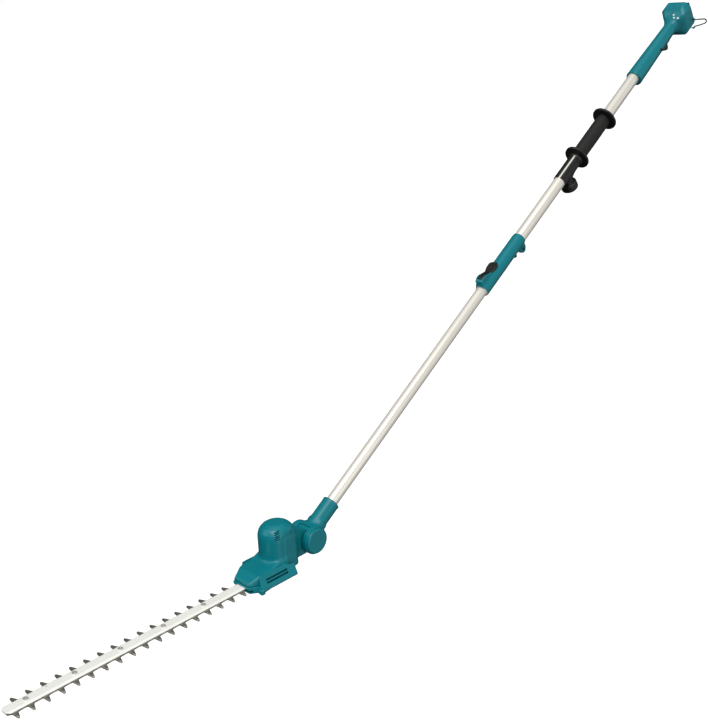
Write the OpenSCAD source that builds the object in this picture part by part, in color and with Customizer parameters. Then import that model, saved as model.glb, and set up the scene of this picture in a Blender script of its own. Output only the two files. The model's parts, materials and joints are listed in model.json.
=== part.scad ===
// Cordless pole hedge trimmer, millimetres.
// Frame: +X from the blade tip to the rear, +Z up from the blade plane, +Y to the left of the blade.
// The origin is where the rear hand holds the handle. The pole axis rises at pole_angle.

/* [Pole] */
// Detent step of the tilting head, degrees
tilt_step = 16.43; // [12:0.01:20]
// Outer diameter of the lower tube
low_od = 24.4; // [22:0.1:26]
// Outer diameter of the upper tube
up_od = 27.6; // [26:0.1:30]
// Wall of both tubes
tube_wall = 1.3; // [1:0.1:2]
// End of the lower tube, measured along the pole from the tilt axis
low_end = 880; // [780:1:900]
// Rear hand position along the pole from the tilt axis
hand_s = 1460; // [1420:1:1490]

/* [Blades] */
// Tooth pitch
pitch = 27; // [20:0.5:35]
// Teeth on each side
teeth = 18; // [10:1:24]
// Stagger of the far row of teeth
stagger = 15.2; // [0:0.1:27]
// Tooth tip half width
tip_y = 27.4; // [22:0.1:32]
// Blade strip half width
strip_y = 11; // [8:0.1:14]
// Thickness of one blade
blade_t = 2; // [1.5:0.1:3]
// Stroke of each blade
stroke = 13.5; // [8:0.5:20]

/* [Head] */
// Radius of the motor dome
dome_r = 36.4; // [32:0.5:42]
// Top of the motor dome above the tilt axis
dome_top = 63; // [50:1:75]
// Shell wall
wall = 2.6; // [2:0.1:4]
// Radius of the round knuckle caps
cap_r = 27.5; // [24:0.5:32]

/* [Gears] */
// Gear module
gear_m = 0.75; // [0.5:0.05:1.5]
// Pinion teeth
z_pin = 10; // [8:1:14]
// Crank gear teeth
z_gear = 70; // [50:1:90]

/* [Fits] */
// Clearance in running fits, radial
run = 0.05; // [0.01:0.01:0.1]

/* [Hidden] */
pole_angle = 2 * tilt_step;
zt = -34.7;                        // plane between the two blades
xt = -641;                         // first tooth
xc = -105;                         // crank axis
xm = xc + gear_m * (z_pin + z_gear) / 2; // motor axis
ecc = stroke / 2;
ecc_r = 8;
up_id = up_od - 2 * tube_wall;
low_id = low_od - 2 * tube_wall;
up_start = 742;
up_end = 1500;
clamp_a = 669;
clamp_b = 836;
grip_a = 1022;
grip_b = 1254;
han_a = 1398;
box_b = 1662;
teal = [0.05, 0.42, 0.45];
black = [0.08, 0.08, 0.08];
steel = [0.75, 0.76, 0.78];
alu = [0.86, 0.86, 0.84];
brass = [0.8, 0.65, 0.25];
copper = [0.72, 0.42, 0.2];
screw_x = [for (i = [0:4]) xt + 27 + i * 89];
$fn = 40;

// ---------- frames and helpers ----------
module head() translate([-hand_s * cos(pole_angle), 0, -hand_s * sin(pole_angle)]) children();
module pole() head() rotate([0, -pole_angle, 0]) children();
module rod(a, b, d) translate([a, 0, 0]) rotate([0, 90, 0]) cylinder(d = d, h = b - a);
module cone(a, b, d1, d2) translate([a, 0, 0]) rotate([0, 90, 0]) cylinder(d1 = d1, d2 = d2, h = b - a);
module pipe(a, b, od, id) difference() {
    rod(a, b, od);
    rod(a - 1, b + 1, id);
}
module ycyl(x, z, y0, y1, d) translate([x, y0, z]) rotate([-90, 0, 0]) cylinder(d = d, h = y1 - y0);
module zcyl(x, y, z0, z1, d) translate([x, y, z0]) cylinder(d = d, h = z1 - z0);
module box(x0, x1, y0, y1, z0, z1) translate([x0, y0, z0]) cube([x1 - x0, y1 - y0, z1 - z0]);
// side profile drawn in X and Z, pulled from y0 to y1
module side(y0, y1, pts) translate([0, y1, 0]) rotate([90, 0, 0]) linear_extrude(y1 - y0) polygon(pts);
module plan(z0, z1, pts) translate([0, 0, z0]) linear_extrude(z1 - z0) polygon(pts);
// section drawn in Y and Z, pulled from x0 to x1
module section(x0, x1, pts) translate([x0, 0, 0]) rotate([90, 0, 90]) linear_extrude(x1 - x0) polygon(pts);
module coil(n, r, w, h) for (i = [0:n - 1]) translate([0, 0, i * (h - w) / (n - 1)])
    difference() {
        cylinder(r = r, h = w, $fn = 20);
        translate([0, 0, -1]) cylinder(r = r - w, h = w + 2, $fn = 20);
    }
module pan_screw(d, l, hd) {
    cylinder(d = d, h = l, $fn = 20);
    translate([0, 0, -hd / 4]) difference() {
        cylinder(d = hd, h = hd / 4, $fn = 24);
        for (a = [0, 90]) rotate([0, 0, a]) translate([-hd / 4, -0.4, -1]) cube([hd / 2, 0.8, 1.8]);
    }
}

// involute gear outline, pressure angle 25 degrees
function inv_pt(rb, t) = [rb * (cos(t) + t * PI / 180 * sin(t)), rb * (sin(t) - t * PI / 180 * cos(t))];
function rot_pt(p, a) = [p[0] * cos(a) - p[1] * sin(a), p[0] * sin(a) + p[1] * cos(a)];
module gear(z, m, h, lash) {
    rp = m * z / 2;
    rb = rp * cos(25);
    ra = rp + 0.8 * m;
    rf = rp - 1.0 * m;
    ta = sqrt(pow(ra / rb, 2) - 1) * 180 / PI;
    tr = rf > rb ? sqrt(pow(rf / rb, 2) - 1) * 180 / PI : 0;
    half = 90 / z + (tan(25) - 25 * PI / 180) * 180 / PI - lash / rp * 90 / PI;
    flank = [for (k = [0:3]) rot_pt(inv_pt(rb, tr + (ta - tr) * k / 3), -half)];
    linear_extrude(h) polygon([for (i = [0:z - 1]) each concat(
        rf < rb ? [rot_pt([rf, 0], -half + i * 360 / z)] : [],
        [for (p = flank) rot_pt(p, i * 360 / z)],
        [for (k = [3:-1:0]) rot_pt([flank[k][0], -flank[k][1]], i * 360 / z)],
        rf < rb ? [rot_pt([rf, 0], half + i * 360 / z)] : [])]);
}

// ---------- cutting blades ----------
// one tooth pointing to +Y, raked toward the tip, root on y = 0
function tooth_pts(x, s) = [[x - 5.5, s * strip_y], [x - 4.6, s * (strip_y + 9)], [x - 3.8, s * tip_y],
    [x - 0.6, s * (tip_y - 0.4)], [x + 2.2, s * (strip_y + 8)], [x + 4.2, s * (strip_y + 2.5)], [x + 8, s * strip_y]];
function flip(v) = [for (i = [len(v) - 1:-1:0]) v[i]];
module blade_plate(z, win) {
    near = [for (i = [0:teeth - 1]) each tooth_pts(xt + 2.2 + i * pitch, -1)];
    far = [for (i = [teeth - 2:-1:0]) each flip(tooth_pts(xt + 2.2 + stagger + i * pitch, 1))];
    difference() {
        union() {
            plan(z, z + blade_t, concat([[xt - 10, -strip_y + 4]], near,
                [[win - 30, -strip_y], [win - 27, -20], [win + 27, -20], [win + 27, 20], [win - 27, 20],
                 [win - 30, strip_y]], far, [[xt - 10, strip_y - 4]]));
        }
        translate([win, 0, z - 1]) linear_extrude(blade_t + 2) square([44, 31], center = true);
        for (x = screw_x) slot(x, z);
    }
}
module slot(x, z) translate([x, 0, z - 1]) linear_extrude(blade_t + 2) {
    square([2 * stroke, 8.3], center = true);
    for (s = [-1, 1]) translate([s * stroke, 0]) circle(d = 8.3, $fn = 24);
}
module upper_blade() color(steel) head() blade_plate(zt + 0.02, xc - ecc);
module lower_blade() color(steel) head() blade_plate(zt - blade_t - 0.02, xc + ecc);

gb_z = zt + blade_t + 0.05;        // underside of the guide bar
module guide_bar() color(alu) head() difference() {
    intersection() {
        plan(gb_z, gb_z + 3.2, [[xt - 12, -6], [xt - 6, -12.5], [-137, -12.5], [-137, 12.5], [xt - 6, 12.5],
            [xt - 12, 6]]);
        section(xt - 30, -130, [[-14, gb_z - 1], [14, gb_z - 1], [14, gb_z + 0.4], [9, gb_z + 3.2],
            [-9, gb_z + 3.2], [-14, gb_z + 0.4]]);
    }
    for (x = screw_x) zcyl(x, 0, gb_z - 1, gb_z + 5, 5);
    zcyl(xt + 68, 6, gb_z - 1, gb_z + 5, 4.4);
    for (x = case_screw_x) zcyl(x, 0, gb_z - 1, gb_z + 5, 5);
}
case_screw_x = [-159, -143];
// hex socket screws from above with spacer bushes through the blade slots
module bar_screws() color(steel) head() {
    for (x = concat(screw_x, case_screw_x)) difference() {
        z = gb_z + (x > -165 ? 8 : 3.2);
        union() {
            zcyl(x, 0, z, z + 2.2, 8.6);
            zcyl(x, 0, x > -165 ? gb_z : gb_z - 8.2, z, 5);
        }
        zcyl(x, 0, z + 0.8, z + 3, 4);
    }
    // shouldered bushes that the two blades slide on
    for (x = screw_x) difference() {
        zcyl(x, 0, zt - blade_t - 0.1, gb_z, 8);
        zcyl(x, 0, zt - blade_t - 1, gb_z + 1, 5);
    }
}
module blade_nuts() color(steel) head() for (x = screw_x) difference() {
    union() {
        zcyl(x, 0, zt - blade_t - 1.3, zt - blade_t - 0.1, 14);
        translate([x, 0, zt - blade_t - 5]) cylinder(d = 9.2, h = 3.7, $fn = 6);
    }
    zcyl(x, 0, zt - blade_t - 8, zt, 5);
}

// ---------- head ----------
deck_z = -8;
floor_z = -26;                     // parting plane between housing and gear case plate
head_plan = [[-171, -24], [-171, 20], [-158, 24], [-140, 31], [-84, 33], [-62, 24], [-54, 15], [-54, -15],
    [-62, -24], [-84, -33], [-152, -33]];
head_room = [[-166, -20], [-166, 16], [-156, 20], [-140, 28.4], [-84, 30.6], [-64, 21.4], [-57, 12], [-57, -12],
    [-64, -21.4], [-84, -30], [-150, -29.6]];
module head_housing() color(teal) head() {
    difference() {
        union() {
            difference() {
                housing_solid();
                housing_room();
            }
            // screw bosses
            for (p = boss_xy) zcyl(p[0], p[1], floor_z, -10.1, 6.4);
        }
        for (p = boss_xy) zcyl(p[0], p[1], floor_z - 1, floor_z + 10, 3);
    }
    // ribs that hold the motor
    for (a = [45:90:315]) rotate_about(xm, a) box(26, dome_r - 1, -1.2, 1.2, -1, 35);
}
module housing_solid() {
    intersection() {
        plan(floor_z, deck_z + 20, head_plan);
        side(-60, 60, [[-171, floor_z], [-171, -20], [-150, deck_z - 1], [-132, deck_z], [-118, deck_z + 2],
            [-106, 0], [-30, 1], [-30, floor_z]]);
    }
    // motor dome with a rounded shoulder
    intersection() {
        box(-200, 0, -cheek_y, cheek_y, -30, 80);
        translate([xm, 0, 0]) rotate_extrude($fn = 56) polygon(concat([[0, -20], [dome_r, -20],
        [dome_r, dome_top - 24]],
        [for (a = [15:15:75]) [dome_r - 24 + 24 * cos(a), dome_top - 24 + 24 * sin(a)]],
        [[dome_r - 24, dome_top], [0, dome_top]]));
    }
    // neck down to the tongue
    side(-13, 13, [[-70, floor_z], [-18, floor_z + 1.2], [-6, -24], [-8, 23], [-20, 27], [-42, 42], [-70, 42]]);
    side(-19, 19, [[-70, floor_z], [-57, floor_z], [-46, -18], [-32, -7], [-34, 26], [-42, 36], [-70, 36]]);
    ycyl(0, 0, -13, 13, 50);
    // shoulders that run from the dome to the neck
    intersection() {
        side(-40, 40, [[-84, -12], [-60, -12], [-32, -3], [-34, 25], [-43, 35], [-84, 37]]);
        plan(-60, 60, [[-84, -32.6], [-58, -29.6], [-31.6, -17.6], [-31.6, 17.6], [-58, 29.6], [-84, 32.6]]);
    }
}
module housing_room() {
    // motor room
    intersection() {
        zcyl(xm, 0, -10.5, dome_top - 20, 2 * (dome_r - wall));
        box(-200, 0, wall - cheek_y, cheek_y - wall, -20, 80);
    }
    zcyl(xm, 0, -11, dome_top - 9, 54);
    zcyl(xm, 0, -11, dome_top - wall, 36);
    // gear room
    plan(floor_z - 1, -10.5, head_room);
    side(-15, 15, [[-166, floor_z - 1], [-166, -22], [-148, -11], [-100, -11], [-100, floor_z - 1]]);
    // lead channel in the neck and the pivot bore
    box(-50, -16, 4, 10, -8, -2);
    ycyl(0, 0, -20, 20, 10);
    // louvres on the dome
    for (g = louvres) rotate_about(xm, g[0]) for (z = g[1])
        translate([z > 42 ? 20 : 28, 0, z]) rotate([g[0] > 180 ? 20 : -20, 0, 0]) translate([0, -4.8, -0.8])
            cube([18, 9.6, 1.6]);
}
louvres = [[232, [41.3, 44.5, 47.7, 51.6, 54.6]], [292, [46, 50]],
    [128, [41.3, 44.5, 47.7, 51.6, 54.6]], [68, [46, 50]]];
cheek_y = 31.6;                    // flat sides of the dome
boss_xy = [[-151, -26.6], [-147, 24], [-65, -19.5], [-65, 19.5]];
module rotate_about(x, a) translate([x, 0, 0]) rotate([0, 0, a]) children();

// lower cover with the slotted side skirts
cover_z = -39;
module lower_cover() color(teal) head() difference() {
    union() {
        difference() {
            cover_solid();
            cover_room();
        }
        for (p = boss_xy) zcyl(p[0], p[1], cover_z, floor_z, 8.4);
    }
    for (p = boss_xy) {
        zcyl(p[0], p[1], cover_z - 1, floor_z + 1, 3);
        zcyl(p[0], p[1], cover_z - 1, cover_z + 3, 7);
    }
}
module cover_solid() {
    plan(cover_z, floor_z, [[-172, -24.6], [-172, 20.6], [-158, 25], [-150, 34], [-84, 34], [-60, 24],
        [-57, 13], [-57, -13], [-60, -24], [-84, -34], [-150, -44], [-157, -44], [-160, -34]]);
    skirt(47, -30, -157, -76);
    mirror([0, 1, 0]) skirt(41, -32, -138, -84);
    // small feet under the front
    box(-160, -152, -47, -38, cover_z, -31);
    box(-150, -142, 26, 33, cover_z, -31);
}
module cover_room() {
    zcyl(xm, 0, floor_z, 10, 2 * dome_r + 0.4);
    // room for the blades, yokes and gear case
    box(-200, -150, -29.5, 29.5, zt - 2.4, gb_z + 0.1);
    box(-300, -131, -13, 13, zt - 2.4, floor_z + 10);
    box(-148, -60, -22, 22, zt - 2.4, floor_z + 10);
    plan(gb_z + 0.1, 10, head_room);
    // two long slots in the near skirt, short ones in the far skirt
    for (k = [0, 1]) translate([-115, -43, -15.5 - k * 5]) rotate([58, 0, 0])
        translate([-26, -1.4, -12]) cube([52, 2.8, 24]);
    for (k = [0, 1]) translate([-111, 37, -18 - k * 4.4]) rotate([-54, 0, 0])
        translate([-18, -1.2, -12]) cube([36, 2.4, 20]);
}
// hollow sloping side panel: foot of the slope at y = -w and z = zb
module skirt(w, zb, x0, x1) difference() {
    intersection() {
        section(x0, x1 + 6, [[-33.1, floor_z - 10], [-33.1, -8], [-35.3, -8], [-w, zb], [-w, zb - 2], [-38, zb - 6]]);
        plan(-60, 10, [[x0, -60], [x0, -40], [x0 + 6, -30], [x1, -30], [x1 + 6, -60]]);
    }
    intersection() {
        section(x0 + 8, x1, [[-34.4, -40], [-34.4, -13], [-35.4, -13], [-w + 2.6, zb], [-w + 2.6, -40]]);
        plan(-60, 10, [[x0 + 8, -60], [x0 + 12, -33], [x1 - 5, -33], [x1 - 1, -60]]);
    }
}
module head_screws() color(steel) head() for (p = boss_xy) translate([p[0], p[1], cover_z + 3]) pan_screw(3, 18, 6.6);

// gear case: plate that carries the guide bar, walls and roof around the gears
case_plan = [[-164, -12], [-164, 12], [-148, 15], [-132, 26], [-84, 29], [-66, 13], [-60, 8], [-60, -8],
    [-66, -13], [-84, -29], [-132, -26], [-148, -15]];
module gear_case() color(alu) head() difference() {
    union() {
        plan(gb_z + 3.2, gb_z + 6.2, case_plan);
        zcyl(xc, 0, gb_z + 6.2, -11, 59);
        zcyl(xm, 0, gb_z + 6.2, -11, 26);
        box(xc, xm, -13, 13, gb_z + 6.2, -11);
        box(-164, -137, -9, 9, gb_z + 6.2, gb_z + 8);
    }
    zcyl(xc, 0, -24.4, -13.4, 55.6);
    zcyl(xm, 0, -24.4, -13.4, 14);
    zcyl(xc, 0, gb_z, gb_z + 9, 26);
    zcyl(xc, 0, -20, -10, 12);
    zcyl(xm, 0, -20, -10, 7);
    for (x = case_screw_x) zcyl(x, 0, gb_z, gb_z + 9, 5);
}
module crank_gear() color(steel) head() translate([xc, 0, 0]) {
    translate([0, 0, -22]) rotate([0, 0, 180 / z_gear]) difference() {
        gear(z_gear, gear_m, 6, 0.12);
        translate([0, 0, -1]) cylinder(d = 10, h = 8);
        for (a = [0:60:300]) rotate([0, 0, a + 30]) translate([15, 0, -1]) cylinder(d = 8, h = 8, $fn = 20);
    }
    translate([0, 0, zt + 1]) cylinder(d = 10, h = -11.5 - zt - 1);
    translate([-ecc, 0, zt]) cylinder(r = ecc_r, h = blade_t + 0.2);
    translate([ecc, 0, zt - blade_t]) cylinder(r = ecc_r, h = blade_t + 0.1);
}
// plain outline bearings: ring pair, the inner ring turns freely on the shaft
module bearing(x, z, od, id, h) zring(x, z, od, id, h);
module zring(x, z, od, id, h) difference() {
    zcyl(x, 0, z, z + h, od);
    zcyl(x, 0, z - 1, z + h + 1, id);
}
module crank_bearings() color(steel) head() {
    zring(xc, gb_z + 3.2, 26, 10 + 2 * run, 5);
    zring(xc, -13.4, 12, 10 + 2 * run, 2.2);
}

// ---------- motor ----------
module motor_can() color([0.6, 0.6, 0.62]) head() difference() {
    zcyl(xm, 0, -2, 42, 52);
    zcyl(xm, 0, 0.4, 43, 48.8);
    zcyl(xm, 0, -3, 2, 16);
    for (a = [45:90:315]) rotate_about(xm, a) translate([17, -3, -3]) cube([5, 6, 5]);
}
module motor_magnets() color([0.2, 0.2, 0.22]) head() for (m = [0, 180]) rotate_about(xm, m) difference() {
    cylinder_arc(24.4, 19.4, 6, 38);
    for (s = [-1, 1]) translate([-30, s * 40 - 20, 0]) cube([60, 40 - 24, 60]);
    translate([-60, -30, 0]) cube([60, 60, 60]);
}
module cylinder_arc(ro, ri, z0, z1) difference() {
    translate([0, 0, z0]) cylinder(r = ro, h = z1 - z0);
    translate([0, 0, z0 - 1]) cylinder(r = ri, h = z1 - z0 + 2);
    translate([-30, 14, z0 - 1]) cube([60, 30, 60]);
    translate([-30, -44, z0 - 1]) cube([60, 30, 60]);
}
module brush_cap() color(black) head() {
    difference() {
        zcyl(xm, 0, 42, 52, 48.6);
        zcyl(xm, 0, 41, 50, 44);
        zcyl(xm, 0, 41, 53, 13);
    }
    for (m = [0, 180]) rotate_about(xm, m) box(6.4, 20, -3, 3, 43, 48);
}
module armature_core() color(copper) head() {
    translate([xm, 0, 10]) difference() {
        cylinder(d = 37.6, h = 24);
        for (a = [0:72:288]) rotate([0, 0, a]) translate([10, -1.2, -1]) cube([12, 2.4, 26]);
        translate([0, 0, -1]) cylinder(d = 5, h = 30, $fn = 20);
    }
    for (z = [5, 34]) translate([xm, 0, z]) difference() {
        cylinder(d = 31, h = 5);
        translate([0, 0, -1]) cylinder(d = 5, h = 9, $fn = 20);
    }
}
module commutator() color(copper) head() zring(xm, 39.5, 12, 5, 9);
module motor_shaft() color(steel) head() translate([xm, 0, 0]) {
    translate([0, 0, -22]) gear(z_pin, gear_m, 6.4, 0.12);
    translate([0, 0, -15.6]) cylinder(d = 5, h = 71.6, $fn = 20);
}
module cooling_fan() color(black) head() translate([xm, 0, 0]) {
    difference() {
        translate([0, 0, -9.6]) cylinder(d = 50, h = 1.4);
        translate([0, 0, -11]) cylinder(d = 5, h = 4, $fn = 20);
    }
    difference() {
        translate([0, 0, -8.2]) cylinder(d = 12, h = 4);
        translate([0, 0, -11]) cylinder(d = 5, h = 9, $fn = 20);
    }
    for (a = [0:30:330]) rotate([0, 0, a]) translate([12, -0.7, -8.2]) cube([12, 1.4, 4.6]);
}
module motor_bearings() color(steel) head() {
    zring(xm, -2, 16, 5 + 2 * run, 4);
    zring(xm, 50.2, 13, 5 + 2 * run, 4);
}

// ---------- tilt knuckle and socket ----------
module detent_plate() color(steel) head() difference() {
    ycyl(0, 0, -16, -13, 46);
    ycyl(0, 0, -20, -10, 10);
    // eight positions, the pin stands above the one for this pose
    for (k = [-6:1]) rotate([0, pole_angle_pin + k * tilt_step, 0]) ycyl(17, 0, -20, -10, 5.4);
}
pole_angle_pin = -pole_angle - 60;
module socket_solid() {
    ycyl(0, 0, -27, 25, 2 * cap_r);
    rod(14, 80, 34.6);
    cone(80, 85, 34.6, 35.6);
    side(-19, 19, [[4, -12], [40, -10], [40, 10], [4, 12]]);
}
module socket_cut() {
    // room for the tongue, detent plate and neck over the whole tilt range
    ycyl(0, 0, -16.1, 13.1, 52);
    side(-16.1, 13.1, [[0, 0], [16, 30], [10, 40], [-40, 60], [-70, 0], [-40, -60], [0, -42], [27, -27]]);
    rod(24, 34, 13);
    rod(34, 92, low_od);
    // button pocket, bolt and lead
    ycyl(0, 0, -28, -19, 51 + 2 * run);
    ycyl(0, 0, -40, 40, 9.9);
    ycyl(0, 0, 21, 30, 51);
    for (z = [-9.6, 9.6]) {
        ycyl(29.6, z, -9, 22, 2.6);
        ycyl(29.6, z, 12, 22, 5.6);
    }
}
module socket_far() color(teal) pole() difference() {
    socket_solid();
    socket_cut();
    box(-60, 120, -60, 0, -60, 60);
}
module socket_near() color(teal) pole() difference() {
    socket_solid();
    socket_cut();
    box(-60, 120, 0, 60, -60, 60);
    rotate([0, -60, 0]) ycyl(17, 0, -40, -10, 5.1);
}
// screw along Y with its head at y, pointing to the near side
module yscrew(x, z, y, l, d, hd) translate([x, y, z]) rotate([90, 0, 0]) pan_screw(d, l, hd);
module socket_screws() color(steel) pole() for (z = [-9.6, 9.6]) yscrew(29.6, z, 12, 20, 2.6, 5);
module pivot_bolt() color(steel) pole() {
    ycyl(0, 0, -19, 21, 9.9);
    ycyl(0, 0, -21, -19, 16);
}
module pivot_nut() color(steel) pole() difference() {
    translate([0, 25, 0]) rotate([90, 0, 0]) cylinder(d = 18, h = 4, $fn = 6);
    ycyl(0, 0, 0, 40, 9.9);
}
module lock_button() color(teal) pole() difference() {
    union() {
        ycyl(0, 0, -29, -23, 51);
        translate([0, -29, 0]) rotate([90, 0, 0]) cylinder(d1 = 51, d2 = 40, h = 3);
    }
    ycyl(0, 0, -27, -20, 44);
}
module lock_pin() color(steel) pole() rotate([0, -60, 0]) {
    ycyl(17, 0, -27, -16.1, 5);
}
module lock_spring() color(steel) pole() translate([0, -27, 0]) rotate([-90, 0, 0]) coil(5, 11.5, 1.2, 8);
module far_cap() color(teal) pole() difference() {
    union() {
        ycyl(0, 0, 25, 27.5, 2 * cap_r - 1);
        translate([0, 27.5, 0]) rotate([-90, 0, 0]) cylinder(d1 = 2 * cap_r - 1, d2 = 2 * cap_r - 12, h = 2);
    }
    ycyl(0, 0, 24, 25.4, 20);
}

// ---------- tubes and leads ----------
module lower_tube() color(alu) pole() pipe(34, low_end, low_od, low_id);
module end_bush() color(black) pole() {
    pipe(low_end, low_end + 16, up_id - 2 * run, 18);
    pipe(low_end - 14, low_end, low_id, 18);
}
module lower_lead() color(black) pole() {
    rod(36, 300, 6);
    for (i = [0:3]) translate([300 + i * 8, 0, 0]) rotate([0, 90, 0]) cylinder(d = 14, h = 5, $fn = 24);
    rod(300, 329, 6);
}
module upper_tube() color(alu) pole() pipe(up_start, up_end, up_od, up_id);
module coiled_lead() color(black) pole() {
    for (i = [0:9]) translate([1000 + i * 8, 0, 0]) rotate([0, 90, 0]) cylinder(d = 14, h = 5, $fn = 24);
    rod(1000, 1504, 6);
}

// ---------- telescope clamp ----------
lev_s = clamp_a + 17;
module clamp_solid() {
    rod(clamp_a + 3, clamp_b - 6, 32);
    cone(clamp_a, clamp_a + 3, 30.4, 32);
    cone(clamp_b - 6, clamp_b, 32, 30);
    // hood over the lever hinge
    side(-10, 10, [[clamp_a, 0], [clamp_a, 15], [clamp_a + 4, 25], [clamp_a + 12, 29], [clamp_a + 20, 29],
        [clamp_a + 34, 22], [clamp_a + 52, 16], [clamp_a + 52, 0]]);
    // strap eyelet and stub below
    side(-4, 4, [[816, -10], [816, -22], [820, -31], [827, -36.5], [834, -36], [840, -29], [841, -20], [836, -12]]);
    translate([801, 0, 0]) rotate([0, 180, 0]) cylinder(d1 = 9, d2 = 7.4, h = 25);
}
module clamp_cut() {
    rod(clamp_a - 1, up_start, 29);
    rod(up_start, clamp_b - 3, up_od);
    rod(clamp_b - 3, clamp_b + 10, up_od + 1);
    // lever pocket
    box(clamp_a + 9.5, clamp_a + 60, -7.3, 7.3, 13, 40);
    box(clamp_a + 40, clamp_a + 82, -20, 20, 15.7, 40);
    ycyl(lev_s, 21, -20, 20, 4);
    ycyl(829, -27.5, -10, 10, 8.4);
    for (p = clamp_screw) {
        ycyl(p[0], p[1], -p[2] + 1.4, 20, 2.6);
        ycyl(p[0], p[1], p[2], 20, 5.6);
    }
}
clamp_screw = [[clamp_a + 5, 19.5, 7], [801, -20.5, 2.4], [822, -19.6, 2.4]];
module clamp_near() color(teal) pole() difference() {
    clamp_solid();
    clamp_cut();
    box(clamp_a - 5, clamp_b + 15, 0, 60, -60, 60);
}
module clamp_far() color(teal) pole() difference() {
    clamp_solid();
    clamp_cut();
    box(clamp_a - 5, clamp_b + 15, -60, 0, -60, 60);
}
module pole_rings() color([0.8, 0.8, 0.78]) pole() {
    pipe(clamp_a - 1.2, clamp_a + 8, 29, low_od + 2 * run);
    pipe(clamp_b - 3, clamp_b + 1.2, up_od + 1, up_od);
}
module collet() color(black) pole() difference() {
    pipe(clamp_a + 8, up_start, 29, low_od + 2 * run);
    for (a = [0:90:270]) rotate([a + 45, 0, 0]) box(clamp_a + 14, up_start + 1, -0.8, 0.8, 0, 20);
}
// lever: hinge end with a cam under the hood, broad paddle toward the rear
module clamp_lever() color(black) pole() difference() {
    union() {
        ycyl(lev_s, 21, -7, 7, 12);
        side(-7, 7, [[lev_s, 15], [lev_s, 27], [lev_s + 8, 27], [lev_s + 25, 19.4],
            [lev_s + 25, 15.8], [lev_s + 8, 15]]);
        intersection() {
            side(-12, 12, [[lev_s + 23, 15.8], [lev_s + 23, 19.4], [lev_s + 36, 20.4], [lev_s + 49, 21], [lev_s + 54, 19],
                [lev_s + 54, 15.8]]);
            plan(0, 40, [[lev_s + 23, -7], [lev_s + 27, -9.8], [lev_s + 35, -11.5], [lev_s + 46, -11.5],
                [lev_s + 51.5, -8.5], [lev_s + 54, -4], [lev_s + 54, 4], [lev_s + 51.5, 8.5],
                [lev_s + 46, 11.5], [lev_s + 35, 11.5], [lev_s + 27, 9.8], [lev_s + 23, 7]]);
        }
    }
    ycyl(lev_s, 21, -20, 20, 4 + 2 * run);
    rod(clamp_a, clamp_b, 32.2);
}
module lever_pin() color(steel) pole() ycyl(lev_s, 21, -9.8, 9.8, 4);

// ---------- front grip ----------
module grip_core() color(black) pole() difference() {
    union() {
        rod(grip_a, grip_b, 30);
        rod(grip_a, 1108, 32);
        for (s = [1105.5, 1243.5]) {
            rod(s, s + 4.5, 61);
            cone(s - 2, s, 55, 61);
            cone(s + 4.5, s + 6.5, 61, 55);
        }
        // boss for the clamp bolt below
        translate([1048, 0, 0]) rotate([0, 180, 0]) cylinder(d = 25, h = 21);
        side(-9, 9, [[1036, -8], [1036, -21], [1056, -21], [1074, -14], [1074, -8]]);
    }
    rod(grip_a - 1, grip_b + 1, up_od + 2 * run);
    // long slit
    rotate([17, 0, 0]) box(grip_a - 1, 1101, -2.7, 2.7, 5, 40);
    knob_axis() cylinder(d = 6, h = 40);
    knob_axis() cylinder(d = 11.8, h = 18, $fn = 6);
}
module soft_grip() color([0.12, 0.12, 0.12]) pole() pipe(1112, 1241.5, 32.6, 30);
module knob_axis() translate([1048, 0, 0]) rotate([0, 180, 0]) children();
module clamp_knob() color(black) pole() knob_axis() difference() {
    union() {
        translate([0, 0, 21.1]) cylinder(d = 26, h = 4);
        translate([0, 0, 24]) cylinder(d = 36, h = 18);
        for (a = [0:60:300]) rotate([0, 0, a]) translate([15.5, 0, 24.5]) cylinder(d = 10, h = 17);
    }
    translate([0, 0, 20]) cylinder(d = 6, h = 12);
    translate([0, 0, 28]) cylinder(d = 10.4, h = 4, $fn = 6);
}
module knob_bolt() color(steel) pole() knob_axis() {
    translate([0, 0, 14.2]) cylinder(d = 5.9, h = 15);
    translate([0, 0, 28]) cylinder(d = 10.2, h = 3.9, $fn = 6);
}
module knob_nut() color(steel) pole() knob_axis() difference() {
    translate([0, 0, 14.2]) cylinder(d = 11.6, h = 3.8, $fn = 6);
    translate([0, 0, 10]) cylinder(d = 6, h = 14);
}

// ---------- rear handle ----------
han_z = -2.8;
module handle_solid() {
    translate([0, 0, han_z]) {
        cone(han_a + 2, 1615, 40.4, 31.4);
        cone(han_a, han_a + 2, 37, 40.4);
    }
    box_solid(0);
    // boss around the trigger
    side(-8, 8, [[1516, -10], [1520, -19], [1530, -20.6], [1566, -20.6], [1574, -17], [1574, -10]]);
}
module box_solid(d) intersection() {
    section(1570, box_b + 4, [[-34 + d, -29 + d / 2], [-26 + d / 2, -38 + d], [26 - d / 2, -38 + d],
        [34 - d, -29 + d / 2], [34 - d, 21 - d / 2], [24 - d / 2, 31 - d], [-24 + d / 2, 31 - d],
        [-34 + d, 21 - d / 2]]);
    side(-60, 60, [[1600 + d, -14], [1612 + d, -32 + d], [1621 + d, -44], [box_b - d, -44], [box_b - d, 38],
        [1645, 38], [1636 + d, 30 - d], [1608 + d, 12.3 - d], [1600 + d, 8]]);
    plan(-60, 60, [[1600 + d, -12], [1616 + d, -32 + d], [1624, -60], [box_b - d, -60], [box_b - d, 60],
        [1638, 60], [1630 + d, 32 - d], [1600 + d, 12]]);
}
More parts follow.
